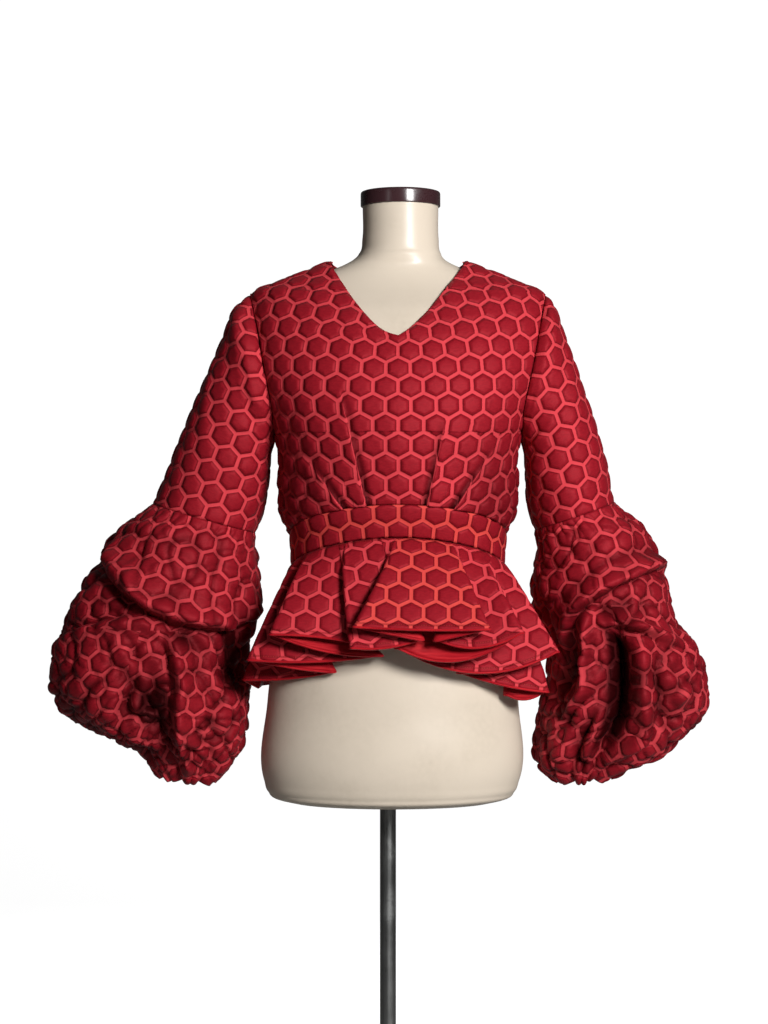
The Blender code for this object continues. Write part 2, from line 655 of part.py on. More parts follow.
def build_upper_sleeve(name, plain, folded, side, miter):
    """The fitted part of a sleeve, cut flat with a cap and closed under the arm."""
    rings = np.linspace(0, PUFF_RING, 61)
    turns = sleeve_ring_turns()
    grid = plain(*np.meshgrid(turns, rings))
    pieces = np.linalg.norm(np.diff(grid, axis=0), axis=-1)
    length = pieces.sum(axis=0)
    upward = 1.0 - np.vstack((np.zeros(len(turns)), np.cumsum(pieces, axis=0))) / length
    rise = upward.mean(axis=1)[::-1]
    loop = np.vstack((grid[0, -2:-1], grid[0], grid[0, 1:2]))
    edge = unit(loop[2:] - loop[:-2])
    slant = np.linalg.norm(np.cross(edge, unit(grid[1] - grid[0])), axis=-1)
    cap_length = length - 2 * SEAM / slant

    def surface(across, up):
        turn = -side * across / SLEEVE_GIRTH * 2 * pi
        ring = np.interp(up / np.interp(turn, turns, length), rise, rings[::-1])
        return folded(turn, ring)

    across = turns / (2 * pi) * SLEEVE_GIRTH
    cap = np.interp(-side * turns, turns, cap_length)
    top = np.column_stack((across, cap))[::-1]
    foot = np.column_stack((across, np.full(len(across), SEAM)))
    seam = np.linspace(SEAM, cap[0], 6)[1:-1]
    right = np.column_stack((np.full(4, across[-1]), seam))
    left = np.column_stack((np.full(4, across[0]), seam[::-1]))
    outline = np.vstack((foot, right, top, left))
    count = len(turns)

    def directions(points, normal):
        found = normal.copy()
        found[count + 4:2 * count + 4] = miter(-side * turns[::-1])
        return found

    seam_edges = [(i, i + 1) for i in range(count - 1, count + 4)]
    seam_edges += [(i, (i + 1) % len(outline)) for i in range(2 * count + 3, len(outline))]
    cloth_wall(name, outline, surface, honeycomb_cloth(), tube_edges=seam_edges,
               miter=directions)


def build_puff(name, folded, side):
    """The puff: rows of points from its seam to the cuff, with a wall inside."""
    turns = sleeve_ring_turns()[:-1]
    rings = np.linspace(PUFF_RING, LAST_RING, PUFF_ROWS + 1)
    rings[0] += SEAM / RING_LENGTH * 2
    grid = np.meshgrid(turns, rings)
    outer = folded(*grid)
    across = np.roll(outer, -1, axis=1) - np.roll(outer, 1, axis=1)
    outward = side * unit(np.cross(across, np.gradient(outer, axis=0)))
    tube_wall(name, outer, outer - outward * CLOTH, side < 0, honeycomb_cloth())


def tube_wall(name, outer, inner, flip, look, closed=True):
    """A wall between two grids of points, rows down and columns round."""
    rows, columns = outer.shape[:2]
    points = np.vstack((outer.reshape(-1, 3), inner.reshape(-1, 3)))
    shift = rows * columns
    faces = []
    reach = columns if closed else columns - 1

    def rim(a, b, turned):
        quad = (b, a, a + shift, b + shift)
        faces.append(tuple(reversed(quad)) if turned else quad)

    for row in range(rows - 1):
        for column in range(reach):
            a, b = row * columns + column, row * columns + (column + 1) % columns
            c, d = b + columns, a + columns
            faces += [(a, b, c), (a, c, d)]
            faces += [(a + shift, c + shift, b + shift), (a + shift, d + shift, c + shift)]
    for row, turned in ((0, False), (rows - 1, True)):
        for column in range(reach):
            rim(row * columns + column, row * columns + (column + 1) % columns, turned)
    if not closed:
        for column, turned in ((0, True), (columns - 1, False)):
            for row in range(rows - 1):
                rim(row * columns + column, (row + 1) * columns + column, turned)
    if flip:
        faces = [tuple(reversed(f)) for f in faces]
    return add_mesh(name, points, faces, look)


def build_sleeves():
    """Both sleeves, and the wall directions that the bodice needs at its armholes."""
    miters = {}
    for side, word, rings, folds in ((-1, "right", RIGHT_SLEEVE, RIGHT_FOLDS),
                                     (1, "left", LEFT_SLEEVE, LEFT_FOLDS)):
        plain, folded = sleeve_surface(rings, folds, side)
        miters[side] = armhole_miter(plain, side)
        build_upper_sleeve(f"sleeve_{word}", plain, folded, side, miters[side])
        build_puff(f"sleeve_puff_{word}", folded, side)
    return miters


# The waistband and the peplum
def waist_shell(angle, height):
    """Surface of the waistband: the bodice's, kept upright below its lowest section."""
    points = body_base(angle, np.maximum(height - BODY[0, 1], 0.0))
    points[..., 2] = height
    return points


def build_waistband():
    """Front and two back pieces of the shaped band, each on the honeycomb."""
    def surface(across, share):
        angle = across / WAIST_RADIUS
        low, high = band_foot(angle) + SEAM * 1.5, band_top(angle) - SEAM * 1.5
        return waist_shell(angle, low + (high - low) * share / BAND_HEIGHT)

    quarter, whole = pi / 2 * WAIST_RADIUS, pi * WAIST_RADIUS
    pieces = (
        ("waistband_front", -quarter + SEAM, quarter - SEAM),
        ("waistband_back_left", quarter + SEAM, whole - SEAM),
        ("waistband_back_right", -whole + SEAM, -quarter - SEAM),
    )
    for name, start, end in pieces:
        foot = np.append(steps(start, end), end)
        low = np.column_stack((foot, np.zeros(len(foot))))
        high = np.column_stack((foot[::-1], np.full(len(foot), BAND_HEIGHT)))
        outline = np.vstack((low, high))
        cloth_wall(name, outline, surface, honeycomb_cloth())


def peplum_path():
    """The hem seen from above: its points, waist angles, heights, and the round of each
    fold edge, which stands off the points on its own."""
    edges = np.array(PEPLUM_EDGES)
    flat = edges[:, 1:3]
    points, angles, heights, rounds = [], [], [], []
    start, start_angle, start_height = flat[0], edges[0, 0], edges[0, 3]
    for i in range(1, len(edges)):
        angle, height, sag = edges[i, 0], edges[i, 3], edges[i, 4]
        way_in = flat[i] - flat[i - 1]
        way_out = flat[i + 1] - flat[i] if i + 1 < len(edges) else way_in
        arc, lift, turn = flat[i:i + 1], np.zeros((1, 2)), 0.0
        if way_in @ way_out < 0:
            ahead = way_in / np.linalg.norm(way_in)
            side = np.sign(way_in[0] * way_out[1] - way_in[1] * way_out[0])
            left = np.array((-ahead[1], ahead[0])) * side
            bend = np.linspace(0, pi, FOLD_STEPS + 1)[:, None]
            arc = flat[i] - FOLD_RADIUS * left * np.cos(bend)
            lift, turn = FOLD_RADIUS * ahead * np.sin(bend), FOLD_ANGLE
        count = max(2, int(round(np.linalg.norm(arc[0] - start) / RUN_STEP)))
        share = np.linspace(0, 1, count + 1)[:-1, None]
        share = share if i == 1 else share[1:]
        points += [start + (arc[0] - start) * share, arc]
        angles += [start_angle + (angle - turn - start_angle) * share[:, 0]]
        angles += [np.linspace(angle - turn, angle + turn, len(arc))]
        heights += [start_height + (height - start_height) * share[:, 0]
                    - 4 * sag * share[:, 0] * (1 - share[:, 0])]
        heights += [np.full(len(arc), height)]
        rounds += [np.zeros((len(share), 2)), lift]
        start, start_angle, start_height = arc[-1], angle + turn, height
    return (np.vstack(points), np.radians(np.concatenate(angles)), np.concatenate(heights),
            np.vstack(rounds))


def peplum_surface(share):
    """Points of the peplum at shares of its length, waist seam (0) to hem (1)."""
    hem, angle, height, rounds = peplum_path()
    slit = SEAM / WAIST_RADIUS
    angle = np.clip(angle, -pi + slit, pi - slit)
    top = waist_shell(angle, band_foot(angle) - SEAM * 1.5)
    hem[0, 0], hem[-1, 0] = -2 * SEAM, 2 * SEAM
    depth = np.where(np.cos(angle) > 0, HEM_FRONT, HEM_BACK)
    flare = np.column_stack((HEM_SIDE * np.sin(angle), -depth * np.cos(angle)))
    share = np.asarray(share)[:, None]
    rows = np.empty((len(share), len(hem), 3))
    for axis, power in enumerate((1.25, 0.65)):
        rows[..., axis] = top[:, axis] + (flare[:, axis] - top[:, axis]) * share ** 0.75
        rows[..., axis] += (hem[:, axis] - flare[:, axis]) * share ** power
        rows[..., axis] += rounds[:, axis] * share ** 0.5
    rows[..., 2] = top[:, 2] + (height - top[:, 2]) * share
    return rows


def set_in(rows, depth):
    """The same rows moved level toward the sheet's inner side."""
    across = np.gradient(rows, axis=1)
    inward = unit(np.stack((-across[..., 1], across[..., 0], 0 * across[..., 0]), axis=-1))
    return rows + inward * depth


def build_peplum():
    """The folded peplum, and the satin lining that shows under its hem."""
    outer = peplum_surface(PEPLUM_ROWS)
    tube_wall("peplum", outer, set_in(outer, PEPLUM_CLOTH), True, honeycomb_cloth(),
              closed=False)
    near_hem = peplum_surface(PEPLUM_ROWS[-2:])
    near_hem[1] += (near_hem[0] - near_hem[1]) * LINING_SHORT
    tube_wall("peplum_lining", set_in(near_hem, PEPLUM_CLOTH + LINING_GAP),
              set_in(near_hem, PEPLUM_CLOTH + LINING_GAP + LINING_CLOTH), True, satin(),
              closed=False)


# The dress form and its stand
def build_form():
    """The torso, a loft of ellipses with a socket for the pole in its underside."""
    turns = np.linspace(-pi, pi, FORM_SIDES, endpoint=False)
    rows = []
    for height, half, front, back, centre_x, centre_y in FORM:
        depth = np.where(np.cos(turns) > 0, front, back)
        x = centre_x + half * np.sin(turns)
        y = centre_y - depth * np.cos(turns)
        rows.append(np.stack((x, y, np.full_like(x, height)), axis=-1))
    rows = np.array(rows)
    count = len(rows)
    faces = []
    for row in range(count - 1):
        for column in range(FORM_SIDES):
            a, b = row * FORM_SIDES + column, row * FORM_SIDES + (column + 1) % FORM_SIDES
            faces.append((a, b, b + FORM_SIDES, a + FORM_SIDES))
    faces.append(tuple(reversed(range(FORM_SIDES))))
    faces.append(tuple(range((count - 1) * FORM_SIDES, count * FORM_SIDES)))
    look = material("ivory_shell", (0.80, 0.74, 0.62), 0.22)
    form = add_mesh("form_torso", rows.reshape(-1, 3), faces, look)
    cutter = cylinder("socket_cutter", POLE_RADIUS + POLE_CLEARANCE,
                      FORM_FOOT_Z - SOCKET_DEPTH, FORM_FOOT_Z + SOCKET_DEPTH, 0.0, 0.0, look)
    PARTS.objects.unlink(cutter)
    CUTTERS.objects.link(cutter)
    cutter.hide_render = True
    cutter.display_type = "WIRE"
    cut = form.modifiers.new("socket", "BOOLEAN")
    cut.operation = "DIFFERENCE"
    cut.object = cutter


def cylinder(name, radius, foot, top, x, y, look, sides=24):
    """An upright cylinder between two heights."""
    work = bmesh.new()
    bmesh.ops.create_cone(work, cap_ends=True, segments=sides, radius1=radius,
                          radius2=radius, depth=top - foot)
    mesh = bpy.data.meshes.new(name)
    work.to_mesh(mesh)
    work.free()
    made = bpy.data.objects.new(name, mesh)
    made.location = (x, y, (foot + top) / 2)
    made.data.materials.append(look)
    PARTS.objects.link(made)
    mesh.shade_smooth()
    mesh.set_sharp_from_angle(angle=radians(40))
    return made


def turned(name, profile, look, steps_round=24):
    """A turned piece: a profile of radius and height, from its axis round to its axis."""
    mesh = bpy.data.meshes.new(name)
    points = [(radius, 0.0, height) for radius, height in profile]
    mesh.from_pydata(points, [(i, i + 1) for i in range(len(points) - 1)], [])
    made = bpy.data.objects.new(name, mesh)
    made.data.materials.append(look)
    PARTS.objects.link(made)
    screw = made.modifiers.new("turn", "SCREW")
    screw.steps = screw.render_steps = steps_round
    screw.use_merge_vertices = True
    screw.merge_threshold = 0.00005
    screw.use_smooth_shade = True
    return made


def build_stand():
    """Neck cap, pole, and the round weighted base with its collar."""
    cap_look = material("maroon_cap", (0.045, 0.008, 0.010), 0.30)
    cap = cylinder("neck_cap", CAP_RADIUS, CAP_FOOT_Z, CAP_TOP_Z, *NECK_CENTRE, cap_look, 24)
    bevel = cap.modifiers.new("edge", "BEVEL")
    bevel.width = CAP_ROUND
    bevel.segments = 1
    bevel.limit_method = "ANGLE"
    bevel.angle_limit = radians(60)
    steel = material("brushed_pole", (0.42, 0.43, 0.44), 0.32, 1.0)
    cylinder("pole", POLE_RADIUS, BASE_CROWN + POLE_CLEARANCE,
             FORM_FOOT_Z + SOCKET_DEPTH - POLE_CLEARANCE, 0.0, 0.0, steel, 24)
    black = material("base_enamel", (0.03, 0.03, 0.032), 0.45, 0.0)
    collar = POLE_RADIUS + POLE_CLEARANCE
    turned("base", (
        (0.0, BASE_CROWN),
        (collar, BASE_CROWN),
        (collar, SLEEVE_NUT_TOP),
        (SLEEVE_NUT_RADIUS - 0.002, SLEEVE_NUT_TOP),
        (SLEEVE_NUT_RADIUS, SLEEVE_NUT_TOP - 0.002),
        (SLEEVE_NUT_RADIUS, BASE_CROWN + 0.004),
        (SLEEVE_NUT_RADIUS + 0.004, BASE_CROWN),
        (BASE_RADIUS * 0.55, BASE_CROWN - 0.003),
        (BASE_RADIUS - BASE_EDGE, BASE_EDGE + 0.003),
        (BASE_RADIUS, BASE_EDGE),
        (BASE_RADIUS, 0.002),
        (BASE_RADIUS - 0.002, 0.0),
        (0.0, 0.0),
    ), black)


def main():
    miters = build_sleeves()
    build_bodice(miters)
    build_waistband()
    build_peplum()
    build_form()
    build_stand()
    for item in PARTS.objects:
        if item.name not in ("pole", "base"):
            item.location.x += BODY_X


main()
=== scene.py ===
# %% [markdown]
# # A honeycomb blouse on its dress form
# This lesson dresses the plain solids of a long-sleeved blouse with a peplum. The
# cloth is a jacquard whose combs puff up between flat woven lines. Each panel is a
# formula on a grid, so that its threads, combs, folds and seams can all be worked
# out from the same few numbers that shaped the solids.

# %% Start: the solids that this scene dresses
from math import pi, radians

import bpy
import numpy as np
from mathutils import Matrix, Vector


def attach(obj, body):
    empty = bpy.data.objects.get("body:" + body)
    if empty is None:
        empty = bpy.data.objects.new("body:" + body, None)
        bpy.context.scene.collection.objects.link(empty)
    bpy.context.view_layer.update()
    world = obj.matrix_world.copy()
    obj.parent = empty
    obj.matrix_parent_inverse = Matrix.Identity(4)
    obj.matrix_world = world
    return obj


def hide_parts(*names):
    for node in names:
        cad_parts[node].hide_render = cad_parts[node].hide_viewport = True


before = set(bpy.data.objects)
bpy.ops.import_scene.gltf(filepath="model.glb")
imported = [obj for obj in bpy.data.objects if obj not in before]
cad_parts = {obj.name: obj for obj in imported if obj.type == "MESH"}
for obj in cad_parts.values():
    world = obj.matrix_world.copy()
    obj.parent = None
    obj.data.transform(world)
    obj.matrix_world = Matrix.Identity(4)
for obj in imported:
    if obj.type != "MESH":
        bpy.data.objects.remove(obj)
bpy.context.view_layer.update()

# %% [markdown]
# ## The numbers of the body
# A blouse is cut from a few panels, so its shape fits in short tables: here the
# sections of the body, and later the rings of each sleeve and the fold edges of the
# peplum. They are the solids' own numbers, so the cloth lies where the solids lie.

# %% The body's table, in metres
CLOTH, PEPLUM_CLOTH = 0.0018, 0.0013    # walls of the lined jacquard and of the peplum
BODY_X = 0.0136                         # blouse and torso stand this far beside the pole
BAND_TOP, BAND_FOOT = (1.108, 0.041), (1.066, 0.040)    # at the side, rise at the front

# level up the cloth, height, half width, front depth, back depth, centre y
BODY = np.array([
    (0.000, 1.080, 0.1445, 0.108, 0.100, 0.000),
    (0.030, 1.110, 0.1475, 0.112, 0.103, 0.000),
    (0.050, 1.130, 0.1550, 0.119, 0.108, 0.000),
    (0.070, 1.150, 0.1605, 0.125, 0.112, 0.000),
    (0.110, 1.190, 0.1610, 0.131, 0.116, 0.000),
    (0.145, 1.225, 0.1630, 0.137, 0.119, 0.000),
    (0.190, 1.270, 0.1755, 0.138, 0.121, 0.000),
    (0.230, 1.310, 0.1925, 0.133, 0.122, 0.002),
    (0.270, 1.350, 0.2040, 0.122, 0.120, 0.005),
    (0.310, 1.390, 0.2070, 0.105, 0.113, 0.008),
    (0.340, 1.418, 0.2050, 0.088, 0.103, 0.010),
    (0.362, 1.436, 0.2000, 0.075, 0.094, 0.011),
    (0.400, 1.452, 0.1680, 0.060, 0.080, 0.012),
    (0.447, 1.468, 0.1260, 0.052, 0.070, 0.012),
    (0.488, 1.482, 0.0910, 0.050, 0.064, 0.012),
])
NECK_LEVEL, SHOULDER_LEVEL, UNDERARM_LEVEL = 0.488, 0.362, 0.164
ARMHOLE_MIDDLE = (SHOULDER_LEVEL + UNDERARM_LEVEL) / 2
ARMHOLE_HALF = (SHOULDER_LEVEL - UNDERARM_LEVEL) / 2
ARMHOLE_TURN = radians(29)              # how far the armhole bites into the front
NECK_POINT_X, NECK_TOP_Z, V_POINT_Z, BACK_NECK_Z = 0.091, 1.482, 1.3725, 1.463
LEFT_NECK_CURVE, RIGHT_NECK_CURVE = 0.74, 0.56   # the wearer's right side is rounder

print(len(BODY), "sections of the body")

# %% [markdown]
# ## Curves through a table
# A panel has to be smooth between its measured sections. Bezier objects could do it,
# but a cubic through the rows of a table gives whole arrays of points at once.

# %% Helpers for smooth surfaces
def along_table(table, at):
    """Cubic Hermite pieces through a table's rows, with slopes averaged at each row."""
    stations = table[:, 0]
    slopes = np.gradient(table, stations, axis=0)
    at = np.asarray(at, float)
    row = np.clip(np.searchsorted(stations, at) - 1, 0, len(stations) - 2)
    span = (stations[row + 1] - stations[row])[..., None]
    u = (at - stations[row])[..., None] / span
    low, high = table[row], table[row + 1]
    return ((2 * u**3 - 3 * u**2 + 1) * low + (u**3 - 2 * u**2 + u) * span * slopes[row]
            + (3 * u**2 - 2 * u**3) * high + (u**3 - u**2) * span * slopes[row + 1])


def unit(vectors):
    """Vectors divided by their own length."""
    return vectors / np.maximum(np.linalg.norm(vectors, axis=-1, keepdims=True), 1e-12)


def grid_normals(points, closed=False):
    """Cross product of the steps along columns and rows, which faces out of the cloth."""
    if closed:
        loop = np.concatenate((points[:, -2:-1], points, points[:, 1:2]), axis=1)
        across = (loop[:, 2:] - loop[:, :-2])
    else:
        across = np.gradient(points, axis=1)
    return unit(np.cross(across, np.gradient(points, axis=0)))


def arc(points, axis):
    """Running length along a grid's rows or columns: the sum of its steps."""
    step = np.linalg.norm(np.diff(points, axis=axis), axis=-1)
    pad = [(0, 0), (0, 0)]
    pad[axis] = (1, 0)
    return np.cumsum(np.pad(step, pad), axis=axis)


def ripples(points, seed, size, count=7):
    """Soft noise from -1 to 1: a sum of sine waves in set directions, about size long."""
    rng = np.random.default_rng(seed)
    waves = unit(rng.normal(size=(count, 3))) * (2 * pi / size) * rng.uniform(0.7, 1.4, (count, 1))
    phase = points @ waves.T + rng.uniform(0, 2 * pi, count)
    return np.sin(phase).sum(axis=-1) / count**0.5 / 1.5


print("half width of the body at its chest:", round(float(along_table(BODY, 0.27)[2]), 4))

# %% [markdown]
# ## Combs in the weave
# The combs are regular hexagons with a point at the top. A texture picture could
# show them, but a formula gives both the coloured lines for the material and the
# height for the mesh. Both read the flat cloth, so a comb stays 32 mm wide as it
# goes over the bust or round a sleeve.

# %% The honeycomb as a formula
HEX_WIDTH, HEX_ROW = 0.032, 0.026       # a comb, and the step from row to row
COMB_RISE, PUFF_RISE, BAND_RISE, PEPLUM_RISE = 0.0021, 0.0017, 0.0013, 0.0012


def comb_edge(u, v):
    """How far a point is inside its comb: 0 on the line, 0.5 at the middle. The nearer
    middle of two offset grids of rectangles is the middle of the comb."""
    size = np.array((1.0, 3**0.5))
    p = np.stack((u / HEX_WIDTH, v / HEX_ROW * 3**0.5 / 2), axis=-1)
    first = (p + size / 2) % size - size / 2
    second = p % size - size / 2
    nearer = (first**2).sum(-1, keepdims=True) < (second**2).sum(-1, keepdims=True)
    x, y = np.moveaxis(np.abs(np.where(nearer, first, second)), -1, 0)
    return 0.5 - np.maximum(x, 0.5 * x + 0.5 * 3**0.5 * y)


def comb_height(flat, edge, rise=COMB_RISE):
    """A pillow in each comb: a quarter sine wave from its line to its middle, which
    flattens within a few millimetres of a sewn edge."""
    inside = np.clip((comb_edge(flat[..., 0], flat[..., 1]) - 0.05) / 0.25, 0, 1)
    return rise * np.sin(inside * pi / 2) * np.clip(edge / 0.007, 0.2, 1)


print("comb at its middle and on its line:", comb_edge(np.array((0, 0.016)), np.array((0, 0))))

# %% [markdown]
# ## Laying a curved panel flat
# Cloth doesn't stretch, so the pattern has to be drawn on the panel laid flat, and
# carried back. Blender's unwrap by minimum stretch does this on a coarse copy of
# the panel; its map is then turned and scaled to true size, in metres.

# %% Unwrapping by minimum stretch
def panel_quads(index):
    """The quads of a grid of point numbers, anticlockwise for rows that run up."""
    return np.stack((index[:-1, :-1], index[:-1, 1:], index[1:, 1:], index[1:, :-1]),
                    axis=2).reshape(-1, 4)


def area_of(points, quads):
    """Area of quads: two triangles each, by cross products."""
    p = np.pad(points, ((0, 0), (0, 3 - points.shape[1])))[quads]
    a = np.cross(p[:, 1] - p[:, 0], p[:, 2] - p[:, 0])
    b = np.cross(p[:, 2] - p[:, 0], p[:, 3] - p[:, 0])
    return float((np.linalg.norm(a, axis=1) + np.linalg.norm(b, axis=1)).sum() / 2)


def lay_flat(pieces):
    """Flat maps of curved pieces. Each piece is points, quads and a rough map, which
    gives the turn and the place; the scale makes the flat area the real one."""
    start, points, quads = 0, [], []
    for piece_points, piece_quads, _ in pieces:
        points.append(piece_points)
        quads.append(piece_quads + start)
        start += len(piece_points)
    mesh = bpy.data.meshes.new("flat")
    mesh.from_pydata(np.vstack(points).tolist(), [], np.vstack(quads).tolist())
    mesh.uv_layers.new(name="flat")
    item = bpy.data.objects.new("flat", mesh)
    bpy.context.scene.collection.objects.link(item)
    bpy.ops.object.select_all(action="DESELECT")
    bpy.context.view_layer.objects.active = item
    item.select_set(True)
    bpy.ops.object.mode_set(mode="EDIT")
    bpy.ops.mesh.select_all(action="SELECT")
    bpy.ops.uv.unwrap(method="MINIMUM_STRETCH", margin=0.01, iterations=30)
    bpy.ops.object.mode_set(mode="OBJECT")
    loops = np.empty(len(mesh.loops), int)
    mesh.loops.foreach_get("vertex_index", loops)
    values = np.empty(len(loops) * 2)
    mesh.uv_layers[0].uv.foreach_get("vector", values)
    flat = np.zeros((len(mesh.vertices), 2))
    flat[loops] = values.reshape(-1, 2)
    bpy.data.objects.remove(item, do_unlink=True)
    bpy.data.meshes.remove(mesh)
    made, start = [], 0
    for piece_points, piece_quads, rough in pieces:
        found = flat[start:start + len(piece_points)]
        start += len(piece_points)
        scale = (area_of(piece_points, piece_quads) / area_of(found, piece_quads)) ** 0.5
        z = (found - found.mean(axis=0)) @ (1, 1j)
        aim = (rough - rough.mean(axis=0)) @ (1, 1j)
        same, mirrored = (np.conj(z) * aim).sum(), (z * aim).sum()
        z, turn = (z, same) if abs(same) > abs(mirrored) else (np.conj(z), mirrored)
        z = z * turn / abs(turn) * scale
        made.append(np.column_stack((z.real, z.imag)) + rough.mean(axis=0))
    return made


square = np.array(((0, 0, 0), (0.1, 0, 0), (0, 0.1, 0), (0.1, 0.1, 0.0)))
print("area of a 100 mm square:", area_of(square, panel_quads(np.arange(4).reshape(2, 2))))

# %% [markdown]
# ## Carrying a flat map to the fine grid
# The unwrap takes long on a fine mesh and wanders on it. So only every few rows and
# columns are unwrapped, and the map of the points between them is found by even steps.

# %% Coarse copies and back
def coarse_lines(count, step):
    """Numbers of the rows or columns kept for the coarse copy, the last one included."""
    return np.unique(np.append(np.arange(0, count - 1, step), count - 1))


def spread(coarse, rows, columns, shape):
    """Values of a coarse grid carried to each point of the fine one, evenly between."""
    for axis, (lines, count) in enumerate(((rows, shape[0]), (columns, shape[1]))):
        at = np.arange(count)
        low = np.clip(np.searchsorted(lines, at, "right") - 1, 0, len(lines) - 2)
        share = (at - lines[low]) / (lines[low + 1] - lines[low])
        share = share.reshape((-1, 1, 1) if axis == 0 else (1, -1, 1))
        coarse = (np.take(coarse, low, axis) * (1 - share)
                  + np.take(coarse, low + 1, axis) * share)
    return coarse


def flat_maps(pieces, step=4):
    """Flat maps of fine grids, by way of their coarse copies. A piece is its points, the
    grids of point numbers that it is made of, and a rough map of the points."""
    coarse, kept = [], []
    for points, grids, rough in pieces:
        picks = [index[np.ix_(*(coarse_lines(n, step) for n in index.shape))] for index in grids]
        used = np.unique(np.concatenate([pick.ravel() for pick in picks]))
        quads = np.vstack([panel_quads(np.searchsorted(used, pick)) for pick in picks])
        coarse.append((points[used], quads, rough[used]))
        kept.append((used, picks, grids))
    maps = []
    for flat, (used, picks, grids) in zip(lay_flat(coarse), kept):
        for pick, index in zip(picks, grids):
            lines = [coarse_lines(n, step) for n in index.shape]
            maps.append(spread(flat[np.searchsorted(used, pick)], *lines, index.shape))
    return maps


def numbered(rows, columns, start=0):
    """A grid of point numbers."""
    return start + np.arange(rows * columns).reshape(rows, columns)


print("a coarse copy keeps lines", coarse_lines(14, 4))

# %% [markdown]
# ## From a grid to a sheet of cloth
# Each panel becomes one mesh with the flat map as its UV map, and an attribute with
# the distance to the nearest sewn edge. Solidify then gives it the cloth's wall.

# %% Making a sheet
def placed(name, mesh):
    """An object for a finished mesh, at the origin."""
    item = bpy.data.objects.new(name, mesh)
    bpy.context.scene.collection.objects.link(item)
    return item


def carried(item, look, *nodes):
    """Let a piece ride on the part's one body, and hide the nodes that it stands for."""
    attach(item, "root")
    if nodes:
        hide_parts(*nodes)
    return item


def cloth(name, node, points, patches, look, wall=CLOTH, values=None):
    """A mesh from points and patches. A patch is a grid of point numbers and its flat
    map, so two patches can share points and still have maps of their own."""
    quads = np.vstack([panel_quads(index) for index, _ in patches])
    corners = np.vstack([
        np.stack((flat[:-1, :-1], flat[:-1, 1:], flat[1:, 1:], flat[1:, :-1]),
                 axis=2).reshape(-1, 4, 2) for _, flat in patches])
    used, total = np.unique(quads), len(points)
    points, quads = points[used] + (BODY_X, 0, 0), np.searchsorted(used, quads)
    mesh = bpy.data.meshes.new(name)
    mesh.from_pydata(points.tolist(), [], quads.tolist())
    mesh.uv_layers.new(name="weave").uv.foreach_set("vector", corners.ravel())
    for word, numbers in (values or {}).items():
        numbers = np.broadcast_to(numbers, (total,))[used].astype(np.float32)
        mesh.attributes.new(word, "FLOAT", "POINT").data.foreach_set("value", numbers)
    mesh.materials.append(look)
    mesh.shade_smooth()
    item = placed(name, mesh)
    solid = item.modifiers.new("wall", "SOLIDIFY")
    solid.thickness = wall
    solid.offset = -1.0
    print(f"{name}: {len(quads)} quads, {area_of(points, quads):.4f} square metres")
    return carried(item, look, node)


print("sheets get a wall of", CLOTH * 1000, "mm, the peplum's", PEPLUM_CLOTH * 1000, "mm")

# %% [markdown]
# ## Node groups that the finishes share
# The combs, the threads and the handling marks show on several pieces. Each is a
# group, built once, that gives out masks and heights; the shader and its fixed
# values stay in each material. A few helpers make the nodes short to write.

# %% Building blocks for materials
def new_group(name, inputs, outputs):
    """A shader group with named sockets, and the two nodes that stand for them inside."""
    tree = bpy.data.node_groups.new(name, "ShaderNodeTree")
    for words, direction in ((inputs, "INPUT"), (outputs, "OUTPUT")):
        for word, kind, value in words:
            made = tree.interface.new_socket(word, in_out=direction, socket_type=kind)
            if value is not None:
                made.default_value = value
    return tree, tree.nodes.new("NodeGroupInput"), tree.nodes.new("NodeGroupOutput")


def add(tree, kind, values=(), **settings):
    """Add a node, set its properties, and fill or link its inputs."""
    node = tree.nodes.new(kind)
    for word, value in settings.items():
        setattr(node, word, value)
    for key, value in dict(values).items():
        if isinstance(value, bpy.types.NodeSocket):
            tree.links.new(value, node.inputs[key])
        else:
            node.inputs[key].default_value = value
    return node


def maths(tree, operation, *values):
    """A Math node's result."""
    return add(tree, "ShaderNodeMath", enumerate(values), operation=operation).outputs[0]


def vector_maths(tree, operation, *values):
    """A Vector Math node's result, which is a number for a length or a dot product."""
    node = add(tree, "ShaderNodeVectorMath", enumerate(values), operation=operation)
    return node.outputs[1 if operation in ("LENGTH", "DOT_PRODUCT") else 0]


def ramp(tree, value, low, high, to_low=0.0, to_high=1.0):
    """A smooth step between two values."""
    return add(tree, "ShaderNodeMapRange", {0: value, 1: low, 2: high, 3: to_low, 4: to_high},
               interpolation_type="SMOOTHSTEP").outputs[0]


def blend_colours(tree, share, first, second, how="MIX"):
    """Two colours mixed by a share, or one multiplied by the other."""
    return add(tree, "ShaderNodeMix", {0: share, 6: first, 7: second}, data_type="RGBA",
               blend_type=how).outputs[2]


print("short ways to nodes:", add.__name__, maths.__name__, ramp.__name__)

# %% [markdown]
# ## The combs as a node group
# The material draws the same hexagons as the mesh does, from the same flat map, so
# the coral lines lie in the furrows. Beside the lines, the group gives the pillow's
# height for the bump, and the rim where the pillow's foot is shaded by its line.

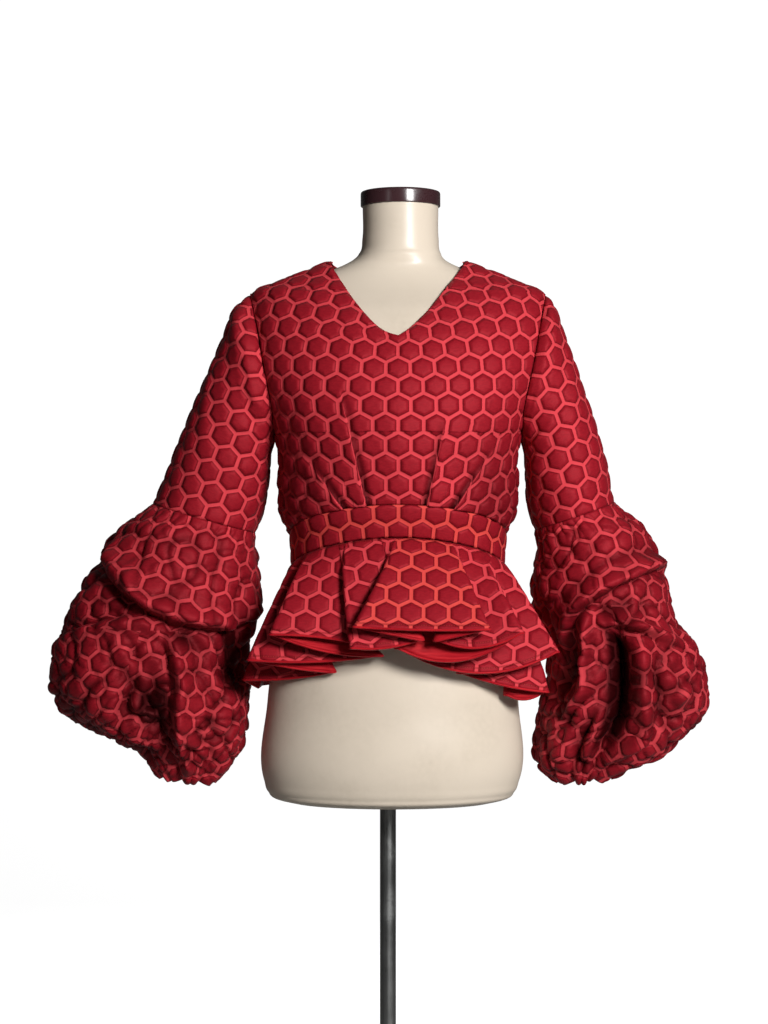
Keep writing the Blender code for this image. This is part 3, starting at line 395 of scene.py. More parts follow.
# %% Honeycomb group
def honeycomb_group():
    """The combs' formula in nodes: the nearer of two wrapped grids, then the distance to
    its hexagon's sides."""
    tree, given, out = new_group(
        "honeycomb", (("Cloth", "NodeSocketVector", None), ("Line", "NodeSocketFloat", 0.07)),
        (("Lines", "NodeSocketFloat", None), ("Pillow", "NodeSocketFloat", None),
         ("Rim", "NodeSocketFloat", None)))
    size, half = (1.0, 3**0.5, 1.0), (0.5, 3**0.5 / 2, 0.5)
    low = tuple(-h for h in half)
    flat = vector_maths(tree, "MULTIPLY", given.outputs["Cloth"],
                        (1 / HEX_WIDTH, 3**0.5 / 2 / HEX_ROW, 0.0))
    first = vector_maths(tree, "WRAP", flat, half, low)
    moved = vector_maths(tree, "SUBTRACT", flat, half)
    second = vector_maths(tree, "WRAP", moved, half, low)
    parts = []
    for middle in (first, second):
        side = add(tree, "ShaderNodeSeparateXYZ", {0: vector_maths(tree, "ABSOLUTE", middle)})
        x, y = side.outputs[0], side.outputs[1]
        slope = maths(tree, "MULTIPLY_ADD", y, size[1] / 2, maths(tree, "MULTIPLY", x, 0.5))
        parts.append(maths(tree, "MAXIMUM", x, slope))
    edge = maths(tree, "SUBTRACT", 0.5, maths(tree, "MINIMUM", *parts))
    line = given.outputs["Line"]
    lines = ramp(tree, edge, maths(tree, "SUBTRACT", line, 0.018),
                 maths(tree, "ADD", line, 0.018), 1.0, 0.0)
    tree.links.new(lines, out.inputs["Lines"])
    tree.links.new(ramp(tree, edge, 0.045, 0.22), out.inputs["Pillow"])
    foot = maths(tree, "ABSOLUTE", maths(tree, "SUBTRACT", edge, maths(tree, "ADD", line, 0.030)))
    tree.links.new(ramp(tree, foot, 0.0, 0.034, 1.0, 0.0), out.inputs["Rim"])
    return tree


HONEYCOMB = honeycomb_group()
print(HONEYCOMB.name, "gives", [item.name for item in HONEYCOMB.interface.items_tree
                                if item.in_out == "OUTPUT"])

# %% [markdown]
# ## Threads and handling marks
# Close to, the jacquard is ribbed by its threads, some of them thicker. The hard
# pieces have faint marks where hands held them. Two more groups give out both.

# %% Thread and handling groups
def thread_group():
    """Fine ribs across and along the cloth, and slubs where a thread is thicker."""
    tree, given, out = new_group(
        "threads", (("Cloth", "NodeSocketVector", None), ("Pitch", "NodeSocketFloat", 0.0009)),
        (("Ribs", "NodeSocketFloat", None), ("Slubs", "NodeSocketFloat", None)))
    at = add(tree, "ShaderNodeSeparateXYZ", {0: given.outputs["Cloth"]})
    waves = []
    for axis, offset in ((0, 0.0), (1, 1.3)):
        turns = maths(tree, "DIVIDE", at.outputs[axis], given.outputs["Pitch"])
        waves.append(maths(tree, "SINE", maths(tree, "MULTIPLY_ADD", turns, 2 * pi, offset)))
    ribs = maths(tree, "MULTIPLY_ADD", maths(tree, "ADD", *waves), 0.25, 0.5)
    slubs = add(tree, "ShaderNodeTexNoise", {
        "Vector": vector_maths(tree, "MULTIPLY", given.outputs["Cloth"], (160.0, 520.0, 1.0)),
        "Scale": 1.0, "Detail": 3.0}).outputs[0]
    tree.links.new(ribs, out.inputs["Ribs"])
    tree.links.new(slubs, out.inputs["Slubs"])
    return tree


def wear_group():
    """Blotches at two sizes from the object's own coordinates, for uneven gloss."""
    tree, given, out = new_group(
        "handling", (("Size", "NodeSocketFloat", 12.0), ("Amount", "NodeSocketFloat", 1.0)),
        (("Marks", "NodeSocketFloat", None),))
    place = add(tree, "ShaderNodeTexCoord").outputs["Object"]
    broad = add(tree, "ShaderNodeTexNoise", {"Vector": place, "Scale": given.outputs["Size"],
                                             "Detail": 4.0}).outputs[0]
    fine = add(tree, "ShaderNodeTexNoise", {
        "Vector": place, "Scale": maths(tree, "MULTIPLY", given.outputs["Size"], 14.0),
        "Detail": 3.0}).outputs[0]
    both = maths(tree, "MULTIPLY", ramp(tree, broad, 0.35, 0.75), fine)
    tree.links.new(maths(tree, "MULTIPLY", both, given.outputs["Amount"]), out.inputs["Marks"])
    return tree


THREADS, HANDLING = thread_group(), wear_group()
print("node groups:", [g.name for g in bpy.data.node_groups])

# %% [markdown]
# ## Starting a material
# Every finish here is Blender's Principled shader with values of its own. What is the
# same all over a piece is set on the shader itself, and what varies is linked to it
# from the groups, from the flat map, or from a number that the mesh carries.

# %% Parts of a material
def start_material(name, slot, **fixed):
    """A new material with its shader's fixed values set on the shader itself."""
    made = bpy.data.materials.new(name)
    made.use_nodes = True
    made["slot"] = slot
    shader = made.node_tree.nodes["Principled BSDF"]
    for word, value in fixed.items():
        shader.inputs[word.replace("_", " ")].default_value = value
    return made, made.node_tree, shader


def group(tree, group_tree, values=()):
    """A group placed in a material with its own values."""
    return add(tree, "ShaderNodeGroup", values, node_tree=group_tree)


def attribute(tree, word):
    """A number that the mesh carries at each of its points."""
    return add(tree, "ShaderNodeAttribute", attribute_name=word).outputs["Fac"]


def bumped(tree, shader, height, distance, strength):
    """Let a height tilt the surface's normal."""
    bump = add(tree, "ShaderNodeBump", {"Height": height, "Distance": distance,
                                        "Strength": strength})
    tree.links.new(bump.outputs[0], shader.inputs["Normal"])


print("a sheet carries the numbers edge, warm, fold, deep and shadow")

# %% [markdown]
# ## Stitches and shade
# A line of stitches runs beside the peplum's hem, and shade lies under the waist tucks.
# Both could be modelled, but they are finer than the mesh, so the material draws them
# from how far each point is from the hem or from the tuck's edge.

# %% Stitches and shade
STITCH_ROW, STITCH_LENGTH = 0.0068, 0.0032      # how far from the hem's edge; one stitch


def stitches(tree, weave, edge):
    """A row of stitches beside the hem: their mask, and the painted shade of the groove that they
    press.
    """
    along = add(tree, "ShaderNodeSeparateXYZ", {0: weave}).outputs[0]
    turns = maths(tree, "MULTIPLY", along, 2 * pi / STITCH_LENGTH)
    dash = ramp(tree, maths(tree, "SINE", turns), -0.5, 0.1)
    row = maths(tree, "ABSOLUTE", maths(tree, "SUBTRACT", edge, STITCH_ROW))
    mask = maths(tree, "MULTIPLY", dash, ramp(tree, row, 0.0003, 0.0007, 1.0, 0.0))
    return mask, ramp(tree, row, 0.0005, 0.0022, 0.62, 1.0)


def fold_shade(tree):
    """Painted shade under a waist tuck and a painted highlight, a bright hairline, on its
    edge, from the distance to the nearest tuck, together with the painted shade that the
    mesh carries."""
    fold, deep = attribute(tree, "fold"), attribute(tree, "deep")
    under = maths(tree, "MULTIPLY", ramp(tree, fold, -0.0130, -0.0006),
                  ramp(tree, fold, -0.0004, 0.0002, 1.0, 0.0))
    shadow = maths(tree, "MAXIMUM", attribute(tree, "shadow"),
                   maths(tree, "MULTIPLY", under, deep))
    painted_highlight = maths(tree, "MULTIPLY", ramp(tree, fold, 0.0, 0.0004),
                  ramp(tree, fold, 0.0008, 0.0014, 1.0, 0.0))
    return shadow, maths(tree, "MULTIPLY", painted_highlight, deep)


print("stitches", 1000 * STITCH_LENGTH, "mm long,", 1000 * STITCH_ROW, "mm from the hem's edge")

# %% [markdown]
# ## The jacquard
# The combs are deep crimson and catch a soft light. The lines between them are coral,
# and turn orange on the waistband and on the peplum's middle fold. Painted shade darkens
# the cloth beside a seam and under a fold. A painted texture could show this too, but
# nodes that read the flat map stay sharp at any distance.

# %% Jacquard
def jacquard(name, deep, crimson, line, warm_line, stitched=False):
    """Honeycomb cloth: comb colour and line colour by the combs' mask, warmer by the
    attribute warm, darkened by painted shade from the attributes edge, fold, deep and
    shadow and at each comb's foot, and bumped by pillows and threads."""
    made, tree, shader = start_material(name, "crimson_honeycomb", Sheen_Weight=0.01,
                                        Sheen_Roughness=0.3, Specular_IOR_Level=0.40)
    shader.inputs["Sheen Tint"].default_value = (1.0, 0.35, 0.35, 1)
    shader.inputs["Specular Tint"].default_value = (1.0, 0.16, 0.18, 1)
    weave = add(tree, "ShaderNodeUVMap", uv_map="weave").outputs[0]
    combs = group(tree, HONEYCOMB, {"Cloth": weave, "Line": 0.072})
    threads = group(tree, THREADS, {"Cloth": weave, "Pitch": 0.0010})
    lines, pillow = combs.outputs["Lines"], combs.outputs["Pillow"]
    ribs, slubs = threads.outputs["Ribs"], threads.outputs["Slubs"]
    edge = attribute(tree, "edge")
    comb = blend_colours(tree, slubs, (*deep, 1), (*crimson, 1))
    rim = blend_colours(tree, attribute(tree, "warm"), (*line, 1), (*warm_line, 1))
    woven = blend_colours(tree, lines, comb, rim)
    shadow, painted_highlight = fold_shade(tree)
    woven = blend_colours(tree, painted_highlight, woven, (*line, 1))
    # painted shade: darker beside a seam, at each comb's foot where its line shades it, and under
    # the folds
    painted_shade = maths(tree, "MULTIPLY", ramp(tree, edge, 0.0, 0.0012, 0.86, 1.0),
                    maths(tree, "MULTIPLY_ADD", combs.outputs["Rim"], -0.50, 1.0))
    painted_shade = maths(tree, "MULTIPLY", painted_shade, maths(tree, "MULTIPLY_ADD", shadow, -0.93, 1.0))
    if stitched:
        # the stitches' groove is painted shade, multiplied into the colour
        stitch, groove = stitches(tree, weave, edge)
        painted_shade = maths(tree, "MULTIPLY", painted_shade, groove)
        woven = blend_colours(tree, stitch, woven, (*THREAD, 1))
    grey = add(tree, "ShaderNodeCombineColor", {0: painted_shade, 1: painted_shade, 2: painted_shade}).outputs[0]
    tree.links.new(blend_colours(tree, 1.0, woven, grey, "MULTIPLY"),
                   shader.inputs["Base Color"])
    rough = maths(tree, "MULTIPLY_ADD", slubs, 0.16, 0.40)
    rough = maths(tree, "MULTIPLY_ADD", lines, 0.14, rough)
    tree.links.new(rough, shader.inputs["Roughness"])
    tall = maths(tree, "MULTIPLY_ADD", pillow, 1.0, maths(tree, "MULTIPLY", ribs, 0.09))
    tall = maths(tree, "MULTIPLY_ADD", slubs, 0.16, tall)
    bumped(tree, shader, tall, 0.0016, 0.85)
    return made


DEEP, CRIMSON, THREAD = (0.165, 0.0050, 0.0110), (0.320, 0.0100, 0.0180), (0.50, 0.030, 0.030)
CORAL, ORANGE = (0.560, 0.046, 0.058), (0.600, 0.058, 0.050)
JACQUARD = jacquard("crimson_jacquard", DEEP, CRIMSON, CORAL, ORANGE)
HEMMED = jacquard("stitched_jacquard", DEEP, CRIMSON, CORAL, ORANGE, stitched=True)
print("jacquards:", JACQUARD.name, HEMMED.name)

# %% [markdown]
# ## The satin
# The peplum is faced with plain satin of the same red, which shows where its hem
# curls, and the hem is bound with it. Satin's threads lie along the cloth, so its
# streaks are one noise drawn out in that direction, in colour, gloss and height.

# %% Satin
def satin_cloth(name, dark, bright):
    """Smooth satin: long faint streaks along the cloth in colour, gloss and height."""
    made, tree, shader = start_material(name, "red_satin", Specular_IOR_Level=0.35)
    shader.inputs["Specular Tint"].default_value = (1.0, 0.16, 0.16, 1)
    weave = add(tree, "ShaderNodeUVMap", uv_map="weave").outputs[0]
    threads = group(tree, THREADS, {"Cloth": weave, "Pitch": 0.0006})
    streak = add(tree, "ShaderNodeTexNoise", {
        "Vector": vector_maths(tree, "MULTIPLY", weave, (18.0, 240.0, 1.0)), "Scale": 1.0,
        "Detail": 4.0}).outputs[0]
    shade = blend_colours(tree, ramp(tree, streak, 0.3, 0.7), (*dark, 1), (*bright, 1))
    tree.links.new(shade, shader.inputs["Base Color"])
    rough = maths(tree, "MULTIPLY_ADD", streak, 0.22, 0.24)
    tree.links.new(rough, shader.inputs["Roughness"])
    tall = maths(tree, "MULTIPLY_ADD", threads.outputs["Ribs"], 0.2, streak)
    bumped(tree, shader, tall, 0.0005, 0.6)
    return made


SATIN = satin_cloth("lining_satin", (0.27, 0.005, 0.011), (0.43, 0.013, 0.019))
print("satin:", SATIN.name)

# %% [markdown]
# ## The hard finishes
# The torso is a glossy ivory shell with faint handling marks, the cap is lacquered
# maroon, the pole is drawn steel with fine streaks along it and the base is black
# enamel. The lacquers differ only in their values, so one function makes all three.

# %% Hard finishes
def shell_finish(name, slot, dark, light, rough, marks, grain=0.00012, **fixed):
    """A glossy shell: colour and gloss vary a little with the handling marks."""
    made, tree, shader = start_material(name, slot, **fixed)
    wear = group(tree, HANDLING, {"Size": marks, "Amount": 1.0}).outputs[0]
    tree.links.new(blend_colours(tree, wear, (*light, 1), (*dark, 1)), shader.inputs["Base Color"])
    tree.links.new(maths(tree, "MULTIPLY_ADD", wear, 0.30, rough), shader.inputs["Roughness"])
    bumped(tree, shader, wear, grain, 0.4)
    return made


def drawn_steel(name, dark, light):
    """Steel drawn through a die: noise stretched along the pole, in colour and gloss."""
    made, tree, shader = start_material(name, "brushed_pole", Metallic=1.0)
    place = add(tree, "ShaderNodeTexCoord").outputs["Object"]
    streaks = add(tree, "ShaderNodeTexNoise", {
        "Vector": vector_maths(tree, "MULTIPLY", place, (900.0, 900.0, 6.0)), "Scale": 1.0,
        "Detail": 3.0}).outputs[0]
    wear = group(tree, HANDLING, {"Size": 20.0, "Amount": 0.6}).outputs[0]
    tree.links.new(blend_colours(tree, streaks, (*dark, 1), (*light, 1)),
                   shader.inputs["Base Color"])
    rough = maths(tree, "MULTIPLY_ADD", streaks, 0.18, maths(tree, "ADD", wear, 0.20))
    tree.links.new(rough, shader.inputs["Roughness"])
    bumped(tree, shader, streaks, 0.0001, 0.3)
    return made


IVORY = shell_finish("ivory_gloss", "ivory_shell", (0.50, 0.425, 0.335), (0.62, 0.535, 0.435),
                     0.33, 9.0, Coat_Weight=0.03, Coat_Roughness=0.08,
                     Specular_IOR_Level=0.24)
MAROON = shell_finish("maroon_lacquer", "maroon_cap", (0.030, 0.012, 0.014),
                      (0.042, 0.017, 0.020), 0.20, 30.0)
STEEL = drawn_steel("drawn_steel", (0.14, 0.142, 0.14), (0.34, 0.342, 0.335))
ENAMEL = shell_finish("black_enamel", "base_enamel", (0.050, 0.050, 0.052),
                      (0.022, 0.022, 0.024), 0.34, 26.0, grain=0.0003)
print("hard finishes:", [m.name for m in (IVORY, MAROON, STEEL, ENAMEL)])

# %% [markdown]
# ## Skins over rings
# The torso, its cap, the pole and the base are closed skins over rings of points. A
# screw modifier could turn the round ones, but joining rings serves the torso's ovals
# as well, and a profile's corners can be eased as a maker eases them.

# %% Loft and lathe
def skin(name, rings, look):
    """A closed skin over rings of points: quads between the rings, and one flat face in
    each end."""
    index = numbered(*rings.shape[:2])
    quads = panel_quads(np.concatenate((index, index[:, :1]), axis=1))
    ends = [index[0][::-1].tolist(), index[-1].tolist()]
    mesh = bpy.data.meshes.new(name)
    mesh.from_pydata(rings.reshape(-1, 3).tolist(), [], quads.tolist() + ends)
    mesh.materials.append(look)
    mesh.shade_smooth()
    print(f"{name}: {len(quads)} quads")
    return mesh, quads


def closed_loft(name, rings, look, node):
    """A hard piece: a closed skin whose edges above 38 degrees stay sharp."""
    mesh, _ = skin(name, rings, look)
    mesh.set_sharp_from_angle(angle=radians(38))
    return carried(placed(name, mesh), look, node)


def lathe(profile, sides, x=0.0, y=0.0):
    """Rings about an upright axis from rows of radius and height."""
    turn = np.linspace(0, 2 * pi, sides, endpoint=False)
    radius, height = np.array(profile).T[..., None]
    return np.stack((x + radius * np.cos(turn), y + radius * np.sin(turn),
                     height + 0 * turn), axis=-1)


def rounded(corners, radii, steps=6):
    """A profile with each corner eased by a quadratic Bezier curve between its sides."""
    corners = np.array(corners, float)
    made = [corners[:1]]
    for before, corner, after, radius in zip(corners, corners[1:], corners[2:], radii):
        t = np.linspace(0, 1, steps)[:, None]
        a = corner + unit(before - corner) * radius
        b = corner + unit(after - corner) * radius
        made.append(a * (1 - t)**2 + 2 * corner * t * (1 - t) + b * t**2)
    return np.vstack((*made, corners[-1:]))


print("a lathed ring of 6 points:", lathe(((1, 0), (1, 1)), 6).shape)

# %% [markdown]
# ## The torso and its cap
# The torso is a moulded shell, broad at the hips and round at the neck. It could be
# sculpted, but its surface is so even that half ellipses, measured at a few heights
# and eased between them, give the same shape, with its fine mould lines added.

# %% Torso and neck cap
# height, half width, front depth, back depth, centre x, centre y
FORM = np.array([
    (0.746, 0.1360, 0.084, 0.088, -0.0090, 0.000),
    (0.751, 0.1570, 0.101, 0.106, -0.0090, 0.000),
    (0.760, 0.1675, 0.108, 0.113, -0.0090, 0.000),
    (0.775, 0.1733, 0.113, 0.118, -0.0086, 0.000),
    (0.880, 0.1708, 0.114, 0.121, -0.0070, 0.000),
    (0.960, 0.1620, 0.109, 0.115, -0.0055, 0.000),
    (1.050, 0.1420, 0.096, 0.097, -0.0025, 0.000),
    (1.095, 0.1330, 0.092, 0.088, -0.0010, 0.000),
    (1.135, 0.1330, 0.094, 0.088, 0.0000, 0.000),
    (1.215, 0.1485, 0.117, 0.101, 0.0000, 0.000),
    (1.280, 0.1560, 0.124, 0.108, 0.0000, 0.000),
    (1.330, 0.1650, 0.117, 0.110, 0.0000, 0.003),
    (1.380, 0.1760, 0.1050, 0.1098, 0.0005, 0.007),
    (1.410, 0.1800, 0.0900, 0.1034, 0.0010, 0.009),
    (1.428, 0.1790, 0.0765, 0.0950, 0.0010, 0.011),
    (1.440, 0.1680, 0.0670, 0.0855, 0.0010, 0.012),
    (1.451, 0.1440, 0.0590, 0.0765, 0.0012, 0.012),
    (1.462, 0.1150, 0.0530, 0.0680, 0.0013, 0.012),
    (1.472, 0.0860, 0.050, 0.060, 0.0014, 0.012),
    (1.482, 0.0650, 0.051, 0.055, 0.0015, 0.012),
    (1.494, 0.0550, 0.0525, 0.0530, 0.0030, 0.012),
    (1.512, 0.0522, 0.0522, 0.0522, 0.0035, 0.012),
    (1.5562, 0.0517, 0.0517, 0.0517, 0.0035, 0.012),
])
NECK_GROOVE_Z = 1.4885      # height of the groove under the neck
CAP_X, CAP_Y = 0.0035 + BODY_X, 0.012


def torso_rows():
    """Half ellipses front and back at each height, with a groove where the neck's shell
    joins the shoulders' and a soft one down each side, where the mould closed."""
    height = np.concatenate((np.linspace(0.746, 0.775, 20), np.linspace(0.780, 1.40, 110),
                             np.linspace(1.402, 1.5562, 70)))
    table = along_table(FORM, height)
    turn = np.linspace(-pi, pi, 144, endpoint=False)
    half, front, back, x, y = (table[:, i, None] for i in range(1, 6))
    groove = 0.0006 * np.exp(-((height - NECK_GROOVE_Z) / 0.0011)**2)[:, None]
    side = 0.0002 * np.exp(-((np.abs(turn) - pi / 2) / 0.010)**2)
    depth = np.where(np.cos(turn) > 0, front, back) - groove - side
    return np.stack((x + (half - groove - side) * np.sin(turn) + BODY_X,
                     y - depth * np.cos(turn), height[:, None] + 0 * turn), axis=-1)


closed_loft("torso_shell", torso_rows(), IVORY, "form_torso")
CAP = rounded(((0.0, 1.5565), (0.0545, 1.5565), (0.0545, 1.5765), (0.0, 1.5765)),
              (0.0012, 0.0034))
closed_loft("cap_disc", lathe(CAP[1:-1], 96, CAP_X, CAP_Y), MAROON, "neck_cap")

# %% [markdown]
# ## The pole and the base
# The pole is a steel tube that stands in a socket on a low, heavy, round base. Both are
# turned shapes, so each is a profile of radius and height, carried round an axis.

# %% Pole and base
POLE = ((0.0099, 0.0213), (0.0109, 0.0223), (0.0109, 0.8547), (0.0099, 0.8557))
closed_loft("steel_pole", lathe(POLE, 64), STEEL, "pole")
BASE = rounded(((0.0112, 0.0210), (0.0112, 0.060), (0.021, 0.060), (0.021, 0.023),
                (0.034, 0.0208), (0.165, 0.0135), (0.175, 0.0085), (0.175, 0.0),
                (0.160, 0.0), (0.0, 0.0)),
               (0.0004, 0.002, 0.002, 0.004, 0.008, 0.005, 0.002, 0.001))
closed_loft("round_base", lathe(BASE[1:-1], 128)[::-1], ENAMEL, "base")

# %% [markdown]
# ## The bodice
# The front is one panel with a V neck, the back is two, closed at the centre by a
# concealed zip. Each half is a grid whose columns run from the neckline or centre to
# the armhole or side seam, so the cut edges are rows and columns of the mesh and need
# no trimming. The four waist tucks are ridges that swallow some of the pattern.

# %% The surface of the body
def waist_seam(angle, ends):
    """Height of a waist seam: level round the back, rising to the middle of the front."""
    side, rise = ends
    return side + rise * np.maximum(np.cos(angle), 0.0) ** 1.4


def body(angle, level):
    """An ellipse at each level, a little squarer at its corners."""
    height, half, front, back, middle = np.moveaxis(along_table(BODY, level), -1, 0)[1:]
    square = 1.0 + 0.035 * np.sin(2 * angle) ** 2
    depth = np.where(np.cos(angle) > 0, front, back)
    return np.stack((half * np.sin(angle) * square, middle - depth * np.cos(angle) * square,
                     height), axis=-1)


print("waist seam at the side and at the front:", waist_seam(np.array((pi / 2, 0)), BAND_TOP))

# %% [markdown]
# ## A grid that ends at the cut edges
# A panel could be trimmed out of a larger sheet, but that leaves a ragged edge. Here
# the grid's own borders are bent to the neckline, the armhole and the seams, and each
# point also learns how far it is from the nearest of them.

# %% Half a panel
SIDE_SEAM, BACK_SEAM = 0.0003, 0.0012   # angles left open beside a seam
FOOT_ROWS = 42                          # rows of the grid below the armhole
CHEST_RADIUS = 0.165                    # turns an angle into a width, for the rough map


def neck_turn(level, point_z, power):
    """Angle of the neckline from the centre, by how far the level is above its lowest
    point."""
    row = along_table(BODY, level)
    reach = np.clip((row[..., 1] - point_z) / (NECK_TOP_Z - point_z), 0, 1) ** power
    return np.arcsin(np.clip(reach * NECK_POINT_X / row[..., 2], -1, 1))


def half_grid(front, side, columns=128):
    """Angles, levels and distances to a sewn edge over half of the front or back."""
    # rows: straight up to the armhole, round it, and closing up from the shoulder to the neck
    turn = np.linspace(pi, 0, 74)
    top = NECK_LEVEL - (NECK_LEVEL - SHOULDER_LEVEL) * np.linspace(1, 0, 40)[1:] ** 1.25
    level = np.concatenate((np.full(FOOT_ROWS, UNDERARM_LEVEL),
                            ARMHOLE_MIDDLE + ARMHOLE_HALF * np.cos(turn)[1:], top))
    cut = np.concatenate((np.zeros(FOOT_ROWS), ARMHOLE_TURN * np.sin(turn)[1:],
                          np.zeros(len(top))))
    t = np.linspace(0, 1, columns)
    if front:
        curve = LEFT_NECK_CURVE if side > 0 else RIGHT_NECK_CURVE
        inner, outer = neck_turn(level, V_POINT_Z, curve), pi / 2 - cut - SIDE_SEAM
        inner = np.minimum(inner, outer - 0.03)[:, None]
        angle = inner + (outer[:, None] - inner) * t
        side = outer[:, None] - angle
        neck = np.where(inner > 0, angle - inner, 1.0)
    else:
        inner = pi - neck_turn(level, BACK_NECK_Z, 0.5) - BACK_SEAM
        outer = pi / 2 + cut + SIDE_SEAM
        inner = np.maximum(inner, outer + 0.03)[:, None]
        angle = outer[:, None] + (inner - outer[:, None]) * t
        side, neck = angle - outer[:, None], inner - angle
    foot = waist_seam(angle, BAND_TOP) - BODY[0, 1]
    level = np.repeat(level[:, None], columns, axis=1)
    share = np.linspace(0, 1, FOOT_ROWS)[:, None]
    level[:FOOT_ROWS] = foot[:FOOT_ROWS] + (UNDERARM_LEVEL - foot[:FOOT_ROWS]) * share
    radius = along_table(BODY, level)[..., 2]
    edge = np.minimum.reduce((side * radius, neck * radius, level - foot))
    return angle, level, edge


def bodice_half(front, side):
    """Points, rough map, edge distances and share of the front of half a panel. Its
    columns always run the same way round, so that its faces point out."""
    angle, level, edge = half_grid(front, side)
    if side < 0:
        angle, level, edge = -angle[:, ::-1], level[:, ::-1], edge[:, ::-1]
    rough = np.stack((angle * CHEST_RADIUS, level), axis=-1)
    return body(angle, level), rough, edge, np.clip(np.cos(angle) * 3.0, 0, 1)


print("half a front has rows and columns:", half_grid(True, 1)[0].shape)

# %% [markdown]
# ## Raising the cloth
# Every sheet is first a plain surface. Its combs and folds then raise it along its own
# normals, as a displacement would, and a seam presses it down beside each sewn edge.

# %% Puffed cloth
def seam_press(edge):
    """A seam presses the cloth down: a narrow bell at the sewn edge."""
    return 0.0006 * np.exp(-(edge / 0.0014) ** 2)


def puffed(points, flat, edge, more=0.0, rise=COMB_RISE):
    """Cloth raised by its combs, by folds and by soft unevenness, and pressed at seams."""
    height = comb_height(flat, edge, rise) + more - seam_press(edge)
    return points + grid_normals(points) * height[..., None]


print("pressed in at a seam by", 1000 * seam_press(0.0), "mm")

# %% [markdown]
# ## The waist tucks
# Four tucks take in the front above the waistband. Each is a fold whose outer side
# lies over the rest. Folding the mesh back on itself would make it cross the form's
# side of the cloth, so a steep step stands for the edge, and the pattern is moved
# along, as if the missing strip were hidden underneath.

# %% Tucks
# foot x and z, tip x and z, height of the fold
TUCKS = (
    (-0.070, 1.140, -0.128, 1.222, 0.0042),
    (-0.041, 1.144, -0.076, 1.300, 0.0045),
    (0.036, 1.146, 0.061, 1.262, 0.0045),
    (0.071, 1.141, 0.133, 1.236, 0.0042),
)


def tuck_fold(x, z, front):
    """Height of the tucks, how far they move the pattern, the distance from the nearest
    fold edge and how deep it is there, and where the cloth is bunched beside them. The
    cloth on a fold's outer side lies over the rest and drops off sharply at the edge."""
    height, deep, distance = np.zeros_like(x), np.zeros_like(x), np.full_like(x, 0.05)
    moved = np.zeros(x.shape + (2,))
    for foot_x, foot_z, tip_x, tip_z, rise in TUCKS:
        run = np.array((tip_x - foot_x, tip_z - foot_z))
        length = np.linalg.norm(run)
        run /= length
        along = ((x - foot_x) * run[0] + (z - foot_z) * run[1]) / length
        across = ((x - foot_x) * run[1] - (z - foot_z) * run[0]) * np.sign(foot_x)
        fade = np.clip(1.0 - along, 0, 1) ** 0.6 * np.clip((along + 0.10) / 0.12, 0, 1)
        over = 0.5 * (1 + np.tanh(across / 0.001))
        height += fade * over * rise * np.exp(-np.maximum(across, 0) / 0.016)
        height -= 0.0032 * fade * np.exp(-((across + 0.003) / 0.0045) ** 2)
        moved[..., 0] += np.sign(foot_x) * 0.011 * fade * over
        moved[..., 1] += 0.016 * fade * over * np.exp(-np.maximum(across, 0) / 0.034)
        nearer = np.abs(across) < np.abs(distance)
        distance, deep = np.where(nearer, across, distance), np.where(nearer, fade, deep)
    bunched = np.clip((np.abs(x) - 0.070) / 0.05, 0, 1) * np.clip((1.27 - z) / 0.10, 0, 1)
    return height * front, moved * front[..., None], distance, deep * front, bunched


print(len(TUCKS), "tucks, the highest", 1000 * max(tuck[4] for tuck in TUCKS), "mm")

# %% [markdown]
# ## The three panels of the bodice
# The front is one sheet over both halves, joined at the centre line below the V, and
# each back half is a sheet of its own. Every sheet keeps the size it was cut to: the
# extent of its flat map.

# %% Front and back panels
def sheet_size(flat):
    """Width and length of a flat map, between its outermost points."""
    span = flat.reshape(-1, 2).max(axis=0) - flat.reshape(-1, 2).min(axis=0)
    return tuple(round(float(s), 3) for s in span)


def bodice_front():
    """One sheet of two halves, which share the points of the centre line below the V."""
    halves = [bodice_half(True, side) for side in (1, -1)]
    rows, columns = halves[0][0].shape[:2]
    left, right = numbered(rows, columns), numbered(rows, columns, rows * columns)
    closed = np.abs(halves[0][0][:, 0, 0]) < 1e-9
    right[closed, -1] = left[closed, 0]
    points = np.vstack([half[0].reshape(-1, 3) for half in halves])
    rough = np.vstack([half[1].reshape(-1, 2) for half in halves])
    maps = flat_maps([(points, [left, right], rough)])
    made, patches, edges, folds, depths, shades = [], [], [], [], [], []
    for (plain, _, edge, front), flat, index in zip(halves, maps, (left, right)):
        fold, moved, distance, deep, bunched = tuck_fold(plain[..., 0], plain[..., 2], front)
        flat = flat + moved
        soft = 0.0007 * ripples(plain, 3, 0.07) + 0.0016 * bunched * ripples(plain, 5, 0.024)
        made.append(puffed(plain, flat, edge, fold + soft,
                           COMB_RISE + 0.0012 * bunched).reshape(-1, 3))
        patches.append((index, flat))
        edges.append(edge.ravel())
        folds.append(distance.ravel())
        depths.append(deep.ravel())
        # painted shade over the bunched cloth at the panel's sides, carried as the attribute
        # shadow
        shades.append(0.42 * bunched.ravel())
    item = cloth("front_panel", "bodice_front", np.vstack(made), patches, JACQUARD,
                 values={"edge": np.concatenate(edges), "warm": 0.0,
                         "fold": np.concatenate(folds), "deep": np.concatenate(depths),
                         "shadow": np.concatenate(shades)})
    size = sheet_size(np.vstack([flat.reshape(-1, 2) for _, flat in patches]))
    return item, size


def bodice_back(side, word):
    """One half of the back, from the side seam to the centre."""
    plain, rough, edge, _ = bodice_half(False, side)
    index = numbered(*plain.shape[:2])
    flat = flat_maps([(plain.reshape(-1, 3), [index], rough.reshape(-1, 2))])[0]
    soft = 0.0008 * ripples(plain, 4 + side, 0.08)
    made = puffed(plain, flat, edge, soft)
    item = cloth(f"back_panel_{word}", f"bodice_back_{word}", made.reshape(-1, 3),
                 [(index, flat)], JACQUARD, values={"edge": edge.ravel(), "warm": 0.0})
    return item, sheet_size(flat)


PANELS = [bodice_front(), bodice_back(1, "left"), bodice_back(-1, "right")]
for panel, size in PANELS:
    print(panel.name, "is cut from", size)

